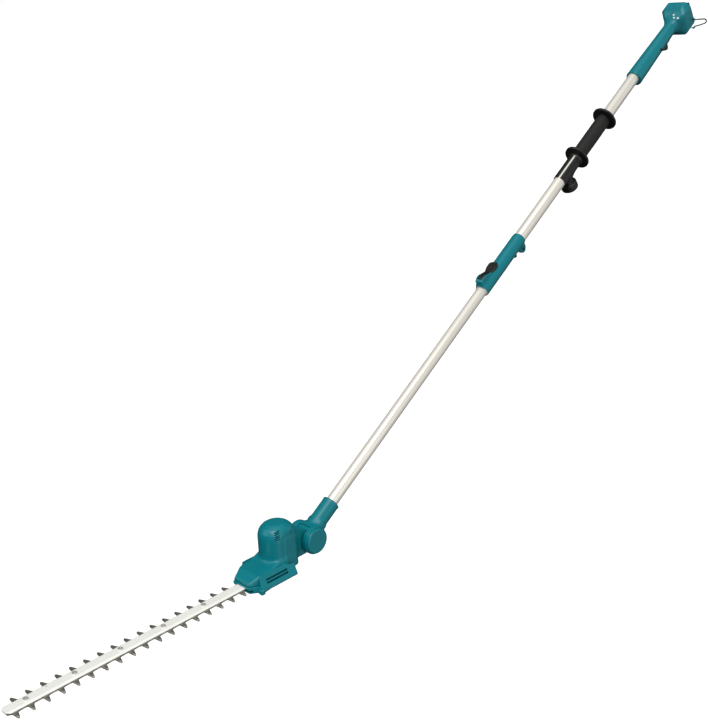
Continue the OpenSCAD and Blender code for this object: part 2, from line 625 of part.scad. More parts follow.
module handle_cut() {
    rod(han_a - 1, up_end, up_od);
    rod(up_end - 1, 1612, 24);
    box_solid(wall);
    // trigger slot, pin, lock-off bore
    box(1520, 1568, -6, 6, -30, -8);
    ycyl(1527, -12, -9, 9, 3);
    ycyl(1514, -4, -30, 0, 8 + 2 * run);
    ycyl(1514, -4, -11.6, 0, 10);
    // rear opening for the battery plate
    box(box_b - 8, box_b + 10, -22, 22, -24, 24);
    // panel for the power button and lamps
    panel() translate([0, 0, -12]) cylinder(d = 6, h = 20);
    panel() translate([0, 0, -12]) cylinder(d = 8.4, h = 9.4);
    panel() for (p = lamp_xy) translate([p[0], p[1], -12]) cylinder(d = 4.4, h = 20, $fn = 24);
    for (p = han_screw) {
        ycyl(p[0], p[1], -8, 60, 2.6);
        ycyl(p[0], p[1], p[2], 60, 5.6);
    }
}
module panel() translate([1613, -19.8, 15.5]) rotate([0, -32.5, 0]) children();
lamp_xy = [[1.7, 11], [8.8, 13.6]];
han_screw = [[1420, -17.4, 8], [1496, -15.9, 8], [1654.6, 24.2, 20], [1654.6, -27.6, 20]];
module handle_near() color(teal) pole() {
    difference() {
        handle_solid();
        handle_cut();
        box(han_a - 5, box_b + 20, 0, 80, -80, 80);
    }
    // ears that carry the hanging loop
    difference() {
        loop_frame() for (s = [-1, 1]) translate([0, s * 11.1, 0]) {
            rotate([90, 0, 0]) cylinder(d = 6.4, h = 2.4, center = true, $fn = 24);
            translate([-8, -1.2, -3.2]) cube([8, 2.4, 6.4]);
        }
        loop_frame() rotate([90, 0, 0]) cylinder(d = wire_d - 0.4 + 2 * run, h = 40, center = true, $fn = 20);
        box_solid(1);
    }
    for (p = [han_screw[2], han_screw[3]]) difference() {
        union() {
            ycyl(p[0], p[1], -25, 0, 7);
            box(p[0] - 1.5, p[0] + 1.5, -25, 0, p[1] > 0 ? p[1] : -37, p[1] > 0 ? 30 : p[1]);
        }
        ycyl(p[0], p[1], -8, 60, 2.6);
    }
}
module handle_far() color(teal) pole() {
    difference() {
        handle_solid();
        handle_cut();
        box(han_a - 5, box_b + 20, -80, 0, -80, 80);
    }
    // seat for the lock-off spring
    ycyl(1514, -4, 0, 12.6, 5);
    for (p = [han_screw[2], han_screw[3]]) difference() {
        union() {
            ycyl(p[0], p[1], 0, 25, 7);
            box(p[0] - 1.5, p[0] + 1.5, 0, 25, p[1] > 0 ? p[1] : -37, p[1] > 0 ? 30 : p[1]);
        }
        ycyl(p[0], p[1], -8, 60, 2.6);
        ycyl(p[0], p[1], p[2], 60, 5.8);
    }
}
module shell_screws() color(steel) pole() {
    for (p = clamp_screw) yscrew(p[0], p[1], p[2], 2 * p[2] - 1.4, 2.6, 5);
    for (p = han_screw) yscrew(p[0], p[1], p[2], p[2] + 8, 2.6, 5);
}
module trigger() color(black) pole() difference() {
    union() {
        ycyl(1527, -12, -5.7, 5.7, 7.6);
        side(-5.7, 5.7, [[1524, -13], [1523.5, -18], [1532, -22.5], [1541, -28], [1549, -33], [1556, -36],
            [1561, -34], [1563, -28], [1563, -17], [1540, -13], [1530, -9]]);
    }
    ycyl(1527, -12, -9, 9, 3 + 2 * run);
}
module trigger_pin() color(steel) pole() ycyl(1527, -12, -8.6, 8.6, 3);
module trigger_spring() color(steel) pole() translate([1554, 0, -14.8]) coil(5, 3, 0.9, 7.2);
module switch_body() color([0.15, 0.15, 0.16]) pole() {
    box(1532, 1580, -7, 7, -7.6, 8);
    for (y = [-4, 4]) box(1580, 1586, y - 0.5, y + 0.5, -3, 3);
}
module lock_off_button() color(black) pole() difference() {
    union() {
        ycyl(1514, -4, -19.4, -6, 8);
        ycyl(1514, -4, -10.4, -8.8, 9.6);
    }
}
module lock_off_spring() color(steel) pole() translate([1514, -6, -4]) rotate([-90, 0, 0]) coil(4, 3.4, 0.8, 6);
module control_board() color([0.1, 0.35, 0.15]) pole() box(1626, 1627.6, -24, 24, -28, 0);

// rear plate with two rails for a slide-on battery
module battery_plate() color(black) pole() difference() {
    union() {
        box(box_b, box_b + 2.5, -29, 29, -33, 25);
        box(box_b - 3, box_b, -21.6, 21.6, -23.6, 23.6);
        for (s = [-1, 1]) {
            box(box_b + 2.5, box_b + 8, s > 0 ? 21 : -24, s > 0 ? 24 : -21, -29, 20);
            box(box_b + 5.8, box_b + 8, s > 0 ? 18 : -24, s > 0 ? 24 : -18, -29, 20);
        }
        box(box_b + 2.5, box_b + 6, -12, 12, -4, 20);
    }
    for (y = [-8, 8]) box(box_b - 4, box_b + 7, y - 1.6, y + 1.6, -2, 18);
}
module battery_terminals() color(brass) pole() for (y = [-8, 8]) {
    box(box_b - 6, box_b + 6, y - 0.4, y + 0.4, 2, 16);
    box(box_b - 6, box_b - 3.2, y - 1.6, y + 1.6, 2, 16);
}
module loop_frame() translate([1645.6, -37.8, -23.6]) rotate([0, -65.4, 0]) rotate([0, 0, -90]) children();

// ---------- panel and hanging loop ----------
module power_button() color(black) pole() panel() {
    translate([0, 0, -3]) cylinder(d = 6 - 2 * run, h = 3.8);
    translate([0, 0, -3.6]) cylinder(d = 7.6, h = 0.8);
}
module lamp_lenses() color([0.85, 0.9, 0.9]) pole() panel() for (p = lamp_xy) translate([p[0], p[1], -4])
    cylinder(d = 4.4, h = 4.5, $fn = 24);
// bent wire loop that swings on its two outturned ends
module wire_loop() color(black) pole() loop_frame() rotate([0, 53, 0]) {
    for (s = [-1, 1]) translate([0, s > 0 ? 8 : -12.6, 0]) rotate([-90, 0, 0])
        cylinder(d = wire_d - 0.6, h = 4.6, $fn = 16);
    for (s = [-1, 1]) translate([-1.4, s * 8, 0]) rotate([0, 90, 0])
        cylinder(d = wire_d - 0.2, h = 27.1, $fn = 20);
    translate([25, 0, 0]) rotate([0, 0, -90]) rotate_extrude(angle = 180, $fn = 32) translate([8, 0])
        circle(d = wire_d, $fn = 16);
}
wire_d = 3.2;

guide_bar();
upper_blade();
lower_blade();
bar_screws();
blade_nuts();
head_housing();
lower_cover();
head_screws();
gear_case();
crank_gear();
crank_bearings();
motor_can();
motor_magnets();
brush_cap();
armature_core();
commutator();
motor_shaft();
cooling_fan();
motor_bearings();
detent_plate();
socket_near();
socket_far();
socket_screws();
pivot_bolt();
pivot_nut();
lock_button();
lock_pin();
lock_spring();
far_cap();
lower_tube();
end_bush();
lower_lead();
upper_tube();
coiled_lead();
clamp_near();
clamp_far();
pole_rings();
collet();
clamp_lever();
lever_pin();
grip_core();
soft_grip();
clamp_knob();
knob_bolt();
knob_nut();
handle_near();
handle_far();
shell_screws();
trigger();
trigger_pin();
trigger_spring();
switch_body();
lock_off_button();
lock_off_spring();
control_board();
battery_plate();
battery_terminals();
power_button();
lamp_lenses();
wire_loop();
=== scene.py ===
import json
import math

import bmesh
import bpy
import numpy as np
from mathutils import Matrix, Vector


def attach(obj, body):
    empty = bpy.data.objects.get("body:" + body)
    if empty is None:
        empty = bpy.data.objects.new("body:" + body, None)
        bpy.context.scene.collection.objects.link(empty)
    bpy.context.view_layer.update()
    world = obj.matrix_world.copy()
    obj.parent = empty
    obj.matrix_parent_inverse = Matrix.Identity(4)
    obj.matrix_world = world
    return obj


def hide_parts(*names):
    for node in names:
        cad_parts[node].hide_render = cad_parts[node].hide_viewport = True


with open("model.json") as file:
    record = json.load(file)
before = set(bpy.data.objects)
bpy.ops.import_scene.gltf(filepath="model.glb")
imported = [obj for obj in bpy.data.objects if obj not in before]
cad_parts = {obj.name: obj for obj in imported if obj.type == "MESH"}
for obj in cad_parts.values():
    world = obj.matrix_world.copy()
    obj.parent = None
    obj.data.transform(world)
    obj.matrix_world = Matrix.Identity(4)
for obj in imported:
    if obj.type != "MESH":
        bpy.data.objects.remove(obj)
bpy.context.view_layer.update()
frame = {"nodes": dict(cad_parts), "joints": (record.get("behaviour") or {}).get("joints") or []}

# ------------------------------------------------------------------ frames
# Sizes are millimetres. The head frame sits on the tilt axis with X to the rear and Z up.
# The pole frame shares that point, with X along the pole to the handle and Z off its upper side.
joints = {j["name"]: j for j in frame["joints"]}
PIVOT = Vector(joints["head_tilt"]["pos_m"])
ALONG = Vector(joints["pole_telescope"]["axis"]).normalized()
ACROSS = Vector((0, 1, 0))
UP = ALONG.cross(ACROSS)
HEAD = Matrix.Translation(PIVOT) @ Matrix.Scale(0.001, 4)
POLE = Matrix.Translation(PIVOT) @ Matrix((
    (ALONG.x, 0, UP.x, 0), (ALONG.y, 1, UP.y, 0), (ALONG.z, 0, UP.z, 0),
    (0, 0, 0, 1))) @ Matrix.Scale(0.001, 4)


# ------------------------------------------------------------------ distance functions
def poly_sd(u, v, pts):
    pts = np.asarray(pts, float)
    d, s = np.full(u.shape, 1e18), np.ones(u.shape)
    for i in range(len(pts)):
        a, b = pts[i], pts[i - 1]
        ex, ey = b[0] - a[0], b[1] - a[1]
        wx, wy = u - a[0], v - a[1]
        t = np.clip((wx * ex + wy * ey) / (ex * ex + ey * ey), 0, 1)
        d = np.minimum(d, (wx - ex * t) ** 2 + (wy - ey * t) ** 2)
        c1, c2, c3 = v >= a[1], v < b[1], ex * wy > ey * wx
        s[(c1 & c2 & c3) | (~c1 & ~c2 & ~c3)] *= -1
    return s * np.sqrt(d)


def inset(pts, r):
    """The outline moved inward by r, corner by corner."""
    p = np.asarray(pts, float)
    area = sum(p[i - 1][0] * p[i][1] - p[i][0] * p[i - 1][1] for i in range(len(p)))
    sign = 1 if area > 0 else -1
    out = []
    for i in range(len(p)):
        a, b, c = p[i - 1], p[i], p[(i + 1) % len(p)]
        e1, e2 = (b - a) / np.hypot(*(b - a)), (c - b) / np.hypot(*(c - b))
        n1, n2 = sign * np.array((-e1[1], e1[0])), sign * np.array((-e2[1], e2[0]))
        m = n1 + n2
        out.append(b + m * r / max(0.3, 1 + n1 @ n2))
    return out


def slab(d2, w, lo, hi, r):
    a, b = d2 + r, np.abs(w - (lo + hi) / 2) - (hi - lo) / 2 + r
    return np.minimum(np.maximum(a, b), 0) + np.hypot(np.maximum(a, 0), np.maximum(b, 0)) - r


def outline(u, v, pts, corner):
    return poly_sd(u, v, inset(pts, corner)) - corner if corner else poly_sd(u, v, pts)


def plan(p, pts, z0, z1, r=1.0, corner=1.0):
    return slab(outline(p[0], p[1], pts, corner), p[2], z0, z1, r)


def side(p, pts, y0, y1, r=1.0, corner=1.0):
    return slab(outline(p[0], p[2], pts, corner), p[1], y0, y1, r)


def section(p, pts, x0, x1, r=1.0, corner=1.0):
    return slab(outline(p[1], p[2], pts, corner), p[0], x0, x1, r)


def block(p, x0, x1, y0, y1, z0, z1, r=0.5):
    q = [np.abs(p[k] - (a + b) / 2) - (b - a) / 2 + r for k,
         (a, b) in enumerate(((x0, x1), (y0, y1), (z0, z1)))]
    out = np.sqrt(sum(np.maximum(k, 0) ** 2 for k in q))
    return out + np.minimum(np.maximum(np.maximum(q[0], q[1]), q[2]), 0) - r


def ydisc(p, x, z, radius, y0, y1, r=0.5):
    return slab(np.hypot(p[0] - x, p[2] - z) - radius, p[1], y0, y1, r)


def zdisc(p, x, y, radius, z0, z1, r=0.5):
    return slab(np.hypot(p[0] - x, p[1] - y) - radius, p[2], z0, z1, r)


def xdisc(p, radius, x0, x1, r=0.5, y=0, z=0):
    return slab(np.hypot(p[1] - y, p[2] - z) - radius, p[0], x0, x1, r)


def turned(h, rad, profile):
    """Solid of revolution: profile is a list of (height, radius) from one end to the other."""
    return poly_sd(h, rad, [(profile[0][0], -90)] + list(profile) + [(profile[-1][0], -90)])


def join(a, b, k=0.0):
    if not k:
        return np.minimum(a, b)
    h = np.clip(0.5 + 0.5 * (b - a) / k, 0, 1)
    return b * (1 - h) + a * h - k * h * (1 - h)


def both(a, b, k=0.0):
    return -join(-a, -b, k)


def cut(a, b, k=0.0):
    return both(a, -b, k)


def turn(p, axis, degrees, centre=(0, 0, 0)):
    """Coordinates of p as seen in a frame turned by degrees about an axis through centre."""
    a = math.radians(degrees)
    c, s = math.cos(a), math.sin(a)
    q = [p[k] - centre[k] for k in range(3)]
    i, j = {"x": (1, 2), "y": (2, 0), "z": (0, 1)}[axis]
    out = list(q)
    out[i] = c * q[i] + s * q[j]
    out[j] = -s * q[i] + c * q[j]
    return out


# ------------------------------------------------------------------ meshes
CORNERS = np.array([(i, j, k) for i in (0, 1) for j in (0, 1) for k in (0, 1)])
EDGES = [(a, b) for a in range(8) for b in range(a + 1, 8) if np.abs(CORNERS[a] - CORNERS[b]).sum() == 1]
BLOCK = 8


def sample(f, low, high, h):
    """Distances on a grid, worked out only near the surface."""
    n = np.ceil((np.asarray(high) - low) / (h * BLOCK)).astype(int) + 1
    half = h * BLOCK / 2
    centres = np.stack(np.meshgrid(*[low[k] + half + np.arange(n[k]) * 2 * half for k in range(3)],
                                   indexing="ij"), -1)
    flat = centres.reshape(-1, 3)
    rough = f([flat[:, 0], flat[:, 1], flat[:, 2]])
    g = np.repeat(np.sign(rough) * 1e3, BLOCK ** 3).reshape(*n, BLOCK, BLOCK, BLOCK)
    near = np.abs(rough) < half * 2.3
    step = (np.arange(BLOCK) + 0.5) * h - half
    offs = np.stack(np.meshgrid(step, step, step, indexing="ij"), -1).reshape(1, -1, 3)
    pts = (flat[near][:, None] + offs).reshape(-1, 3)
    vals = f([pts[:, 0], pts[:, 1], pts[:, 2]])
    g.reshape(-1, BLOCK ** 3)[near] = vals.reshape(-1, BLOCK ** 3)
    g = g.transpose(0, 3, 1, 4, 2, 5).reshape(n * BLOCK)
    return g, np.asarray(low) + h / 2


def nets(f, low, high, h):
    """Surface of f = 0 as quads, with vertices moved onto the surface."""
    g, origin = sample(f, np.asarray(low, float), np.asarray(high, float), h)
    inside = g < 0
    s = [slice(0, -1), slice(1, None)]
    count = sum(inside[s[i], s[j], s[k]].astype(np.int8) for i, j, k in CORNERS)
    cells = np.argwhere((count > 0) & (count < 8))
    index = np.full(count.shape, -1)
    index[tuple(cells.T)] = np.arange(len(cells))
    vals = np.stack([g[tuple((cells + c).T)] for c in CORNERS], 1)
    total, number = np.zeros((len(cells), 3)), np.zeros(len(cells))
    for a, b in EDGES:
        va, vb = vals[:, a], vals[:, b]
        hit = (va < 0) != (vb < 0)
        t = np.where(hit, va / np.where(hit, va - vb, 1), 0)[:, None]
        total += np.where(hit[:, None], CORNERS[a] + t * (CORNERS[b] - CORNERS[a]), 0)
        number += hit
    v = origin + (cells + total / number[:, None]) * h
    faces = []
    for axis in range(3):
        o1, o2 = np.eye(3, dtype=int)[(axis + 1) % 3], np.eye(3, dtype=int)[(axis + 2) % 3]
        lo, hi = [slice(None)] * 3, [slice(None)] * 3
        lo[axis], hi[axis] = slice(0, -1), slice(1, None)
        a, b = inside[tuple(lo)], inside[tuple(hi)]
        e = np.argwhere(a != b)
        e = e[(e[:, (axis + 1) % 3] > 0) & (e[:, (axis + 2) % 3] > 0)]
        ok = np.all(e < np.array(index.shape), axis=1)
        e = e[ok]
        q = np.stack([index[tuple((e - o).T)] for o in (o1 + o2, o2, o1 * 0, o1)], 1)
        rev = ~a[tuple(e.T)]
        q[rev] = q[rev][:, ::-1]
        faces.append(q)
    faces = np.concatenate(faces)
    eps = 0.02
    for _ in range(3):
        d, n = slope(f, v, eps)
        v = v - np.clip(d, -h, h)[:, None] * n * 0.9
    return v, faces[(faces >= 0).all(1)], slope(f, v, eps)[1]


def slope(f, v, eps):
    x, y, z = v.T
    g = np.stack([f([x + eps, y, z]) - f([x - eps, y, z]), f([x, y + eps, z]) - f([x, y - eps, z]),
                  f([x, y, z + eps]) - f([x, y, z - eps])], 1)
    return f([x, y, z]), g / np.maximum(np.linalg.norm(g, axis=1), 1e-9)[:, None]


def finish_piece(obj, material, body, stands_for):
    obj.data.materials.clear()
    obj.data.materials.append(material)
    bpy.context.scene.collection.objects.link(obj)
    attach(obj, body)
    if stands_for:
        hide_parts(*stands_for)
    return obj


def carve(name, f, low, high, h, place, material, body, stands_for=()):
    """A piece from its distance function in the place frame."""
    v, faces, normals = nets(f, low, high, h)
    m = np.array(place)
    v = v @ m[:3, :3].T + m[:3, 3]
    mesh = bpy.data.meshes.new(name)
    mesh.vertices.add(len(v))
    mesh.vertices.foreach_set("co", v.ravel())
    mesh.loops.add(faces.size)
    mesh.loops.foreach_set("vertex_index", faces.ravel())
    mesh.polygons.add(len(faces))
    mesh.polygons.foreach_set("loop_start", np.arange(len(faces)) * 4)
    mesh.polygons.foreach_set("loop_total", np.full(len(faces), 4))
    mesh.update(calc_edges=True)
    mesh.validate()
    mesh.shade_smooth()
    n = normals @ m[:3, :3].T
    n /= np.linalg.norm(n, axis=1)[:, None]
    mesh.normals_split_custom_set_from_vertices([tuple(k) for k in n])
    return finish_piece(bpy.data.objects.new(name, mesh), material, body, stands_for)


def sheet_metal(name, outlines, z0, z1, edge, place, material, body, stands_for=()):
    """A flat plate with holes: the first outline is the outside, in X and Y."""
    curve = bpy.data.curves.new(name, "CURVE")
    curve.dimensions, curve.fill_mode = "2D", "BOTH"
    for pts in outlines:
        sp = curve.splines.new("POLY")
        sp.points.add(len(pts) - 1)
        for p, q in zip(sp.points, pts):
            p.co = (q[0], q[1], 0, 1)
        sp.use_cyclic_u = True
    curve.extrude, curve.bevel_depth, curve.offset = (z1 - z0) / 2 - edge, edge, -edge
    curve.bevel_resolution = 1
    tmp = bpy.data.objects.new(name + "_curve", curve)
    bpy.context.scene.collection.objects.link(tmp)
    bpy.context.view_layer.update()
    mesh = bpy.data.meshes.new_from_object(tmp.evaluated_get(bpy.context.evaluated_depsgraph_get()))
    bpy.data.objects.remove(tmp)
    mesh.name = name
    mesh.transform(place @ Matrix.Translation((0, 0, (z0 + z1) / 2)))
    bm = bmesh.new()
    bm.from_mesh(mesh)
    bmesh.ops.remove_doubles(bm, verts=bm.verts, dist=1e-6)
    bmesh.ops.recalc_face_normals(bm, faces=bm.faces)
    bm.to_mesh(mesh)
    bm.free()
    return finish_piece(bpy.data.objects.new(name, mesh), material, body, stands_for)


def tube(name, pts, radius, material, body, stands_for=(), segments=16):
    """A round wire or lead along points in the row frame, with rounded ends."""
    pts = [Vector(p) for p in pts]
    bm = bmesh.new()
    rings = []
    t0 = (pts[1] - pts[0]).normalized()
    side_dir = t0.orthogonal().normalized()
    for i, p in enumerate(pts):
        t = (pts[min(i + 1, len(pts) - 1)] - pts[max(i - 1, 0)]).normalized()
        side_dir = (side_dir - t * side_dir.dot(t)).normalized()
        up = t.cross(side_dir)
        rings.append((p, t, side_dir.copy(), up))
    first, last = rings[0], rings[-1]
    steps = [(first[0] - first[1] * radius * math.sin(a), first, math.cos(a)) for a in (1.2, 0.7, 0.3)]
    steps += [(r[0], r, 1.0) for r in rings]
    steps += [(last[0] + last[1] * radius * math.sin(a), last, math.cos(a)) for a in (0.3, 0.7, 1.2)]
    loops = []
    for c, r, k in steps:
        loops.append([bm.verts.new(c + (r[2] * math.cos(a) + r[3] * math.sin(a)) * radius * k)
                      for a in [2 * math.pi * q / segments for q in range(segments)]])
    for a, b in zip(loops, loops[1:]):
        for q in range(segments):
            bm.faces.new((a[q], a[(q + 1) % segments], b[(q + 1) % segments], b[q]))
    bm.faces.new(loops[0][::-1])
    bm.faces.new(loops[-1])
    bmesh.ops.recalc_face_normals(bm, faces=bm.faces)
    mesh = bpy.data.meshes.new(name)
    bm.to_mesh(mesh)
    bm.free()
    mesh.shade_smooth()
    return finish_piece(bpy.data.objects.new(name, mesh), material, body, stands_for)


# ------------------------------------------------------------------ materials
def srgb(r, g, b):
    return tuple(((c / 255 + 0.055) / 1.055) ** 2.4 if c > 10 else c / 255 / 12.92 for c in (r, g, b)) + (1,)


def material(name, tone, rough=0.4, metal=0.0, vary=0.06, grain=900.0, bump=0.02, stretch=(1, 1, 1),
             along_pole=False,
             specular=0.5, coat=0.0, detail=3.0):
    """Moulded or metal finish: colour and roughness vary with noise, and a fine grain lifts the surface."""
    m = bpy.data.materials.new(name)
    m.use_nodes = True
    nt = m.node_tree
    nt.nodes.clear()
    new, link = nt.nodes.new, nt.links.new
    out, bsdf = new("ShaderNodeOutputMaterial"), new("ShaderNodeBsdfPrincipled")
    link(bsdf.outputs[0], out.inputs[0])
    coords, place = new("ShaderNodeTexCoord"), new("ShaderNodeMapping")
    link(coords.outputs["Object"], place.inputs["Vector"])
    if along_pole:
        place.inputs["Rotation"].default_value = (0, math.atan2(ALONG.z, ALONG.x), 0)
    scaled = new("ShaderNodeMapping")
    scaled.inputs["Scale"].default_value = stretch
    link(place.outputs[0], scaled.inputs["Vector"])
    broad, fine = new("ShaderNodeTexNoise"), new("ShaderNodeTexNoise")
    broad.inputs["Scale"].default_value, broad.inputs["Detail"].default_value = 18.0, 4.0
    fine.inputs["Scale"].default_value, fine.inputs["Detail"].default_value = grain, detail
    link(place.outputs[0], broad.inputs["Vector"])
    link(scaled.outputs[0], fine.inputs["Vector"])
    mix = new("ShaderNodeMix")
    mix.data_type = "RGBA"
    dark = tuple(c * (1 - vary) for c in tone[:3]) + (1,)
    light = tuple(min(1, c * (1 + vary)) for c in tone[:3]) + (1,)
    mix.inputs["A"].default_value, mix.inputs["B"].default_value = dark, light
    link(broad.outputs["Fac"], mix.inputs["Factor"])
    link(mix.outputs["Result"], bsdf.inputs["Base Color"])
    level = new("ShaderNodeMapRange")
    level.inputs["To Min"].default_value = rough * 0.85
    level.inputs["To Max"].default_value = min(1, rough * 1.15)
    link(fine.outputs["Fac"], level.inputs["Value"])
    link(level.outputs[0], bsdf.inputs["Roughness"])
    lift = new("ShaderNodeBump")
    lift.inputs["Strength"].default_value, lift.inputs["Distance"].default_value = bump, 0.001
    link(fine.outputs["Fac"], lift.inputs["Height"])
    link(lift.outputs[0], bsdf.inputs["Normal"])
    bsdf.inputs["Metallic"].default_value = metal
    bsdf.inputs["Specular IOR Level"].default_value = specular
    bsdf.inputs["Coat Weight"].default_value = coat
    bsdf.inputs["Coat Roughness"].default_value = 0.15
    return m


TEAL = material("housing_teal", srgb(0, 110, 120), rough=0.3, vary=0.05, grain=1400, bump=0.04, specular=0.32)
BLACK = material("black_plastic", srgb(17, 17, 17), rough=0.42, vary=0.12, grain=1500, bump=0.08)
FOAM = material("grip_foam", srgb(30, 30, 29), rough=0.6, vary=0.2, grain=800, bump=0.5, specular=0.25)
RING = material("trim_ring", srgb(205, 205, 196), rough=0.45, vary=0.04, grain=1200, bump=0.04)
TUBE = material("tube_satin", srgb(222, 218, 208), rough=0.3, metal=0.35, vary=0.03, grain=300, bump=0.03,
                stretch=(0.02, 1, 1), along_pole=True)
BLADE = material("blade_ground", srgb(176, 172, 162), rough=0.3, metal=0.85, vary=0.06, grain=420, bump=0.05,
                 stretch=(1, 0.06, 1))
BAR = material("bar_extruded", srgb(240, 240, 234), rough=0.36, metal=0.25, vary=0.04, grain=380, bump=0.04,
               stretch=(0.02, 1, 1))
STEEL = material("bright_steel", srgb(214, 214, 210), rough=0.32, metal=0.7, vary=0.06, grain=700, bump=0.03)
DARK = material("dark_steel", srgb(60, 60, 64), rough=0.4, metal=0.9, vary=0.1, grain=700, bump=0.05)
COPPER = material("winding_copper", srgb(170, 96, 56), rough=0.35, metal=0.9, vary=0.15, grain=500, bump=0.2)
BRASS = material("contact_brass", srgb(196, 160, 90), rough=0.25, metal=1.0, vary=0.05, grain=600, bump=0.02)
WIRE = material("wire_coating", srgb(10, 10, 10), rough=0.38, vary=0.1, grain=900, bump=0.05)
LEAD = material("lead_sheath", srgb(22, 22, 22), rough=0.55, vary=0.1, grain=900, bump=0.1)
BOARD = material("circuit_board", srgb(20, 92, 50), rough=0.4, vary=0.1, grain=400, bump=0.05)
LENS = material("lamp_lens", srgb(226, 238, 238), rough=0.2, vary=0.02, grain=600, bump=0.02, coat=0.4)
MARK = material("button_mark", srgb(196, 218, 218), rough=0.35, vary=0.03, grain=900, bump=0.03)

# ------------------------------------------------------------------ head
ZT, XT, XC, XM = -34.7, -641.0, -105.0, -75.0
FLOOR, COVER = -26.0, -39.0
PITCH, TEETH, STAGGER, STRIP, TIP, BLADE_T, STROKE = 27.0, 18, 15.2, 11.0, 27.4, 2.0, 13.5
BAR_Z = ZT + BLADE_T + 0.05
SCREW_X = [XT + 27 + 89 * i for i in range(5)]
DOME_R, DOME_TOP = 36.4, 63.0
HEAD_PLAN = [(-171, -24), (-171, 20), (-158, 24), (-140, 31), (-84, 33), (-62, 24), (-54, 15), (-54, -15),
             (-62, -24), (-84, -33), (-152, -33)]
DOME = ([(-30, DOME_R + 0.6), (10, DOME_R + 0.2), (36, DOME_R - 0.2)]
        + [(DOME_TOP - 25 + 25 * math.sin(a),
            DOME_R - 25.5 + 25 * math.cos(a)) for a in np.radians(range(12, 90, 13))]
        + [(DOME_TOP - 0.3, 6), (DOME_TOP, 2)])


def housing(p):
    x, y, z = p
    deck = both(outline(x, y, HEAD_PLAN, 3.0), side(p, [(-171, -60), (-171, -20.5), (-151, -8.5), (-136, -8),
                (-118, -6.4), (-104, -2), (-30, -1), (-30, -60)], -90, 90, 1, 2.5), 5.0)
    dome = turned(z, np.hypot(x - XM, y), DOME)
    # flat cheeks on both sides of the dome
    dome = both(dome, np.abs(y) - 31.6, 4.0)
    body = join(deck, dome, 7.0)
    shoulder = both(side(p, [(-84, -12), (-60, -12), (-32, -3), (-34, 25), (-43, 35), (-84, 38)], -40, 40, 1,
                         3),
                    outline(x, y, [(-84, -32.4), (-58, -29.6), (-31.6, -17.6), (-31.6, 17.6), (-58, 29.6),
                                   (-84, 32.4)],
                            2), 5.0)
    root = side(p, [(-70, FLOOR), (-57, FLOOR), (-46, -18), (-32, -7), (-34, 26), (-42, 36), (-70, 36)],
                -19, 19, 2, 3)
    body = join(body, join(shoulder, root, 4.0), 5.0)
    tongue = side(p, [(-60, FLOOR), (-18, FLOOR + 1.2), (-6, -24), (-8, 23), (-20, 27), (-40, 40), (-60, 42)],
                  -13, 13, 0.8, 1.5)
    tongue = join(tongue, ydisc(p, 0, 0, 25, -13, 13, 0.6))
    body = join(body, tongue, 1.5)
    body = both(body, FLOOR - z + 0.12, 0.8)
    # air slots on the dome
    for a, levels in LOUVRES:
        q = turn(p, "z", a, (XM, 0, 0))
        for h in levels:
            body = cut(body, block(turn(q, "x", 20 if a > 180 else -20, (0, 0, h)), 20, 60, -5, 5, -0.85,
                                   0.85, 0.6), 0.4)
    # shadow line round the foot of the dome
    inner = body + 2.4
    room = join(zdisc(p, XM, 0, 33, -14, 56), plan(p, HEAD_PLAN, FLOOR - 9, -12))
    return both(body, -both(inner, room))


LOUVRES = ((232, (41.3, 44.5, 47.7, 51.6, 54.6)), (292, (46, 50)), (128, (41.3, 44.5, 47.7, 51.6, 54.6)),
           (68, (46, 50)))
COVER_PLAN = [(-172, -24.6), (-172, 20.6), (-158, 25), (-150, 34), (-84, 34), (-60, 24), (-57, 13),
              (-57, -13),
              (-60, -24), (-84, -34), (-150, -44), (-157, -44), (-160, -34)]


def skirt(p, w, zb, x0, x1):
    sec = [(-30, -40), (-30, -7.2), (-34.8, -7.2), (-w, zb), (-w, zb - 3), (-40, -38)]
    d = section(p, sec, x0, x1, 2.5, 1.6)
    ends = plan(p, [(x0, -w - 4), (x0, -41), (x0 + 7, -28), (x1, -28), (x1, -40), (x1 - 2, -w - 4)],
                -60, 20, 1, 4)
    return both(d, ends, 1.5)


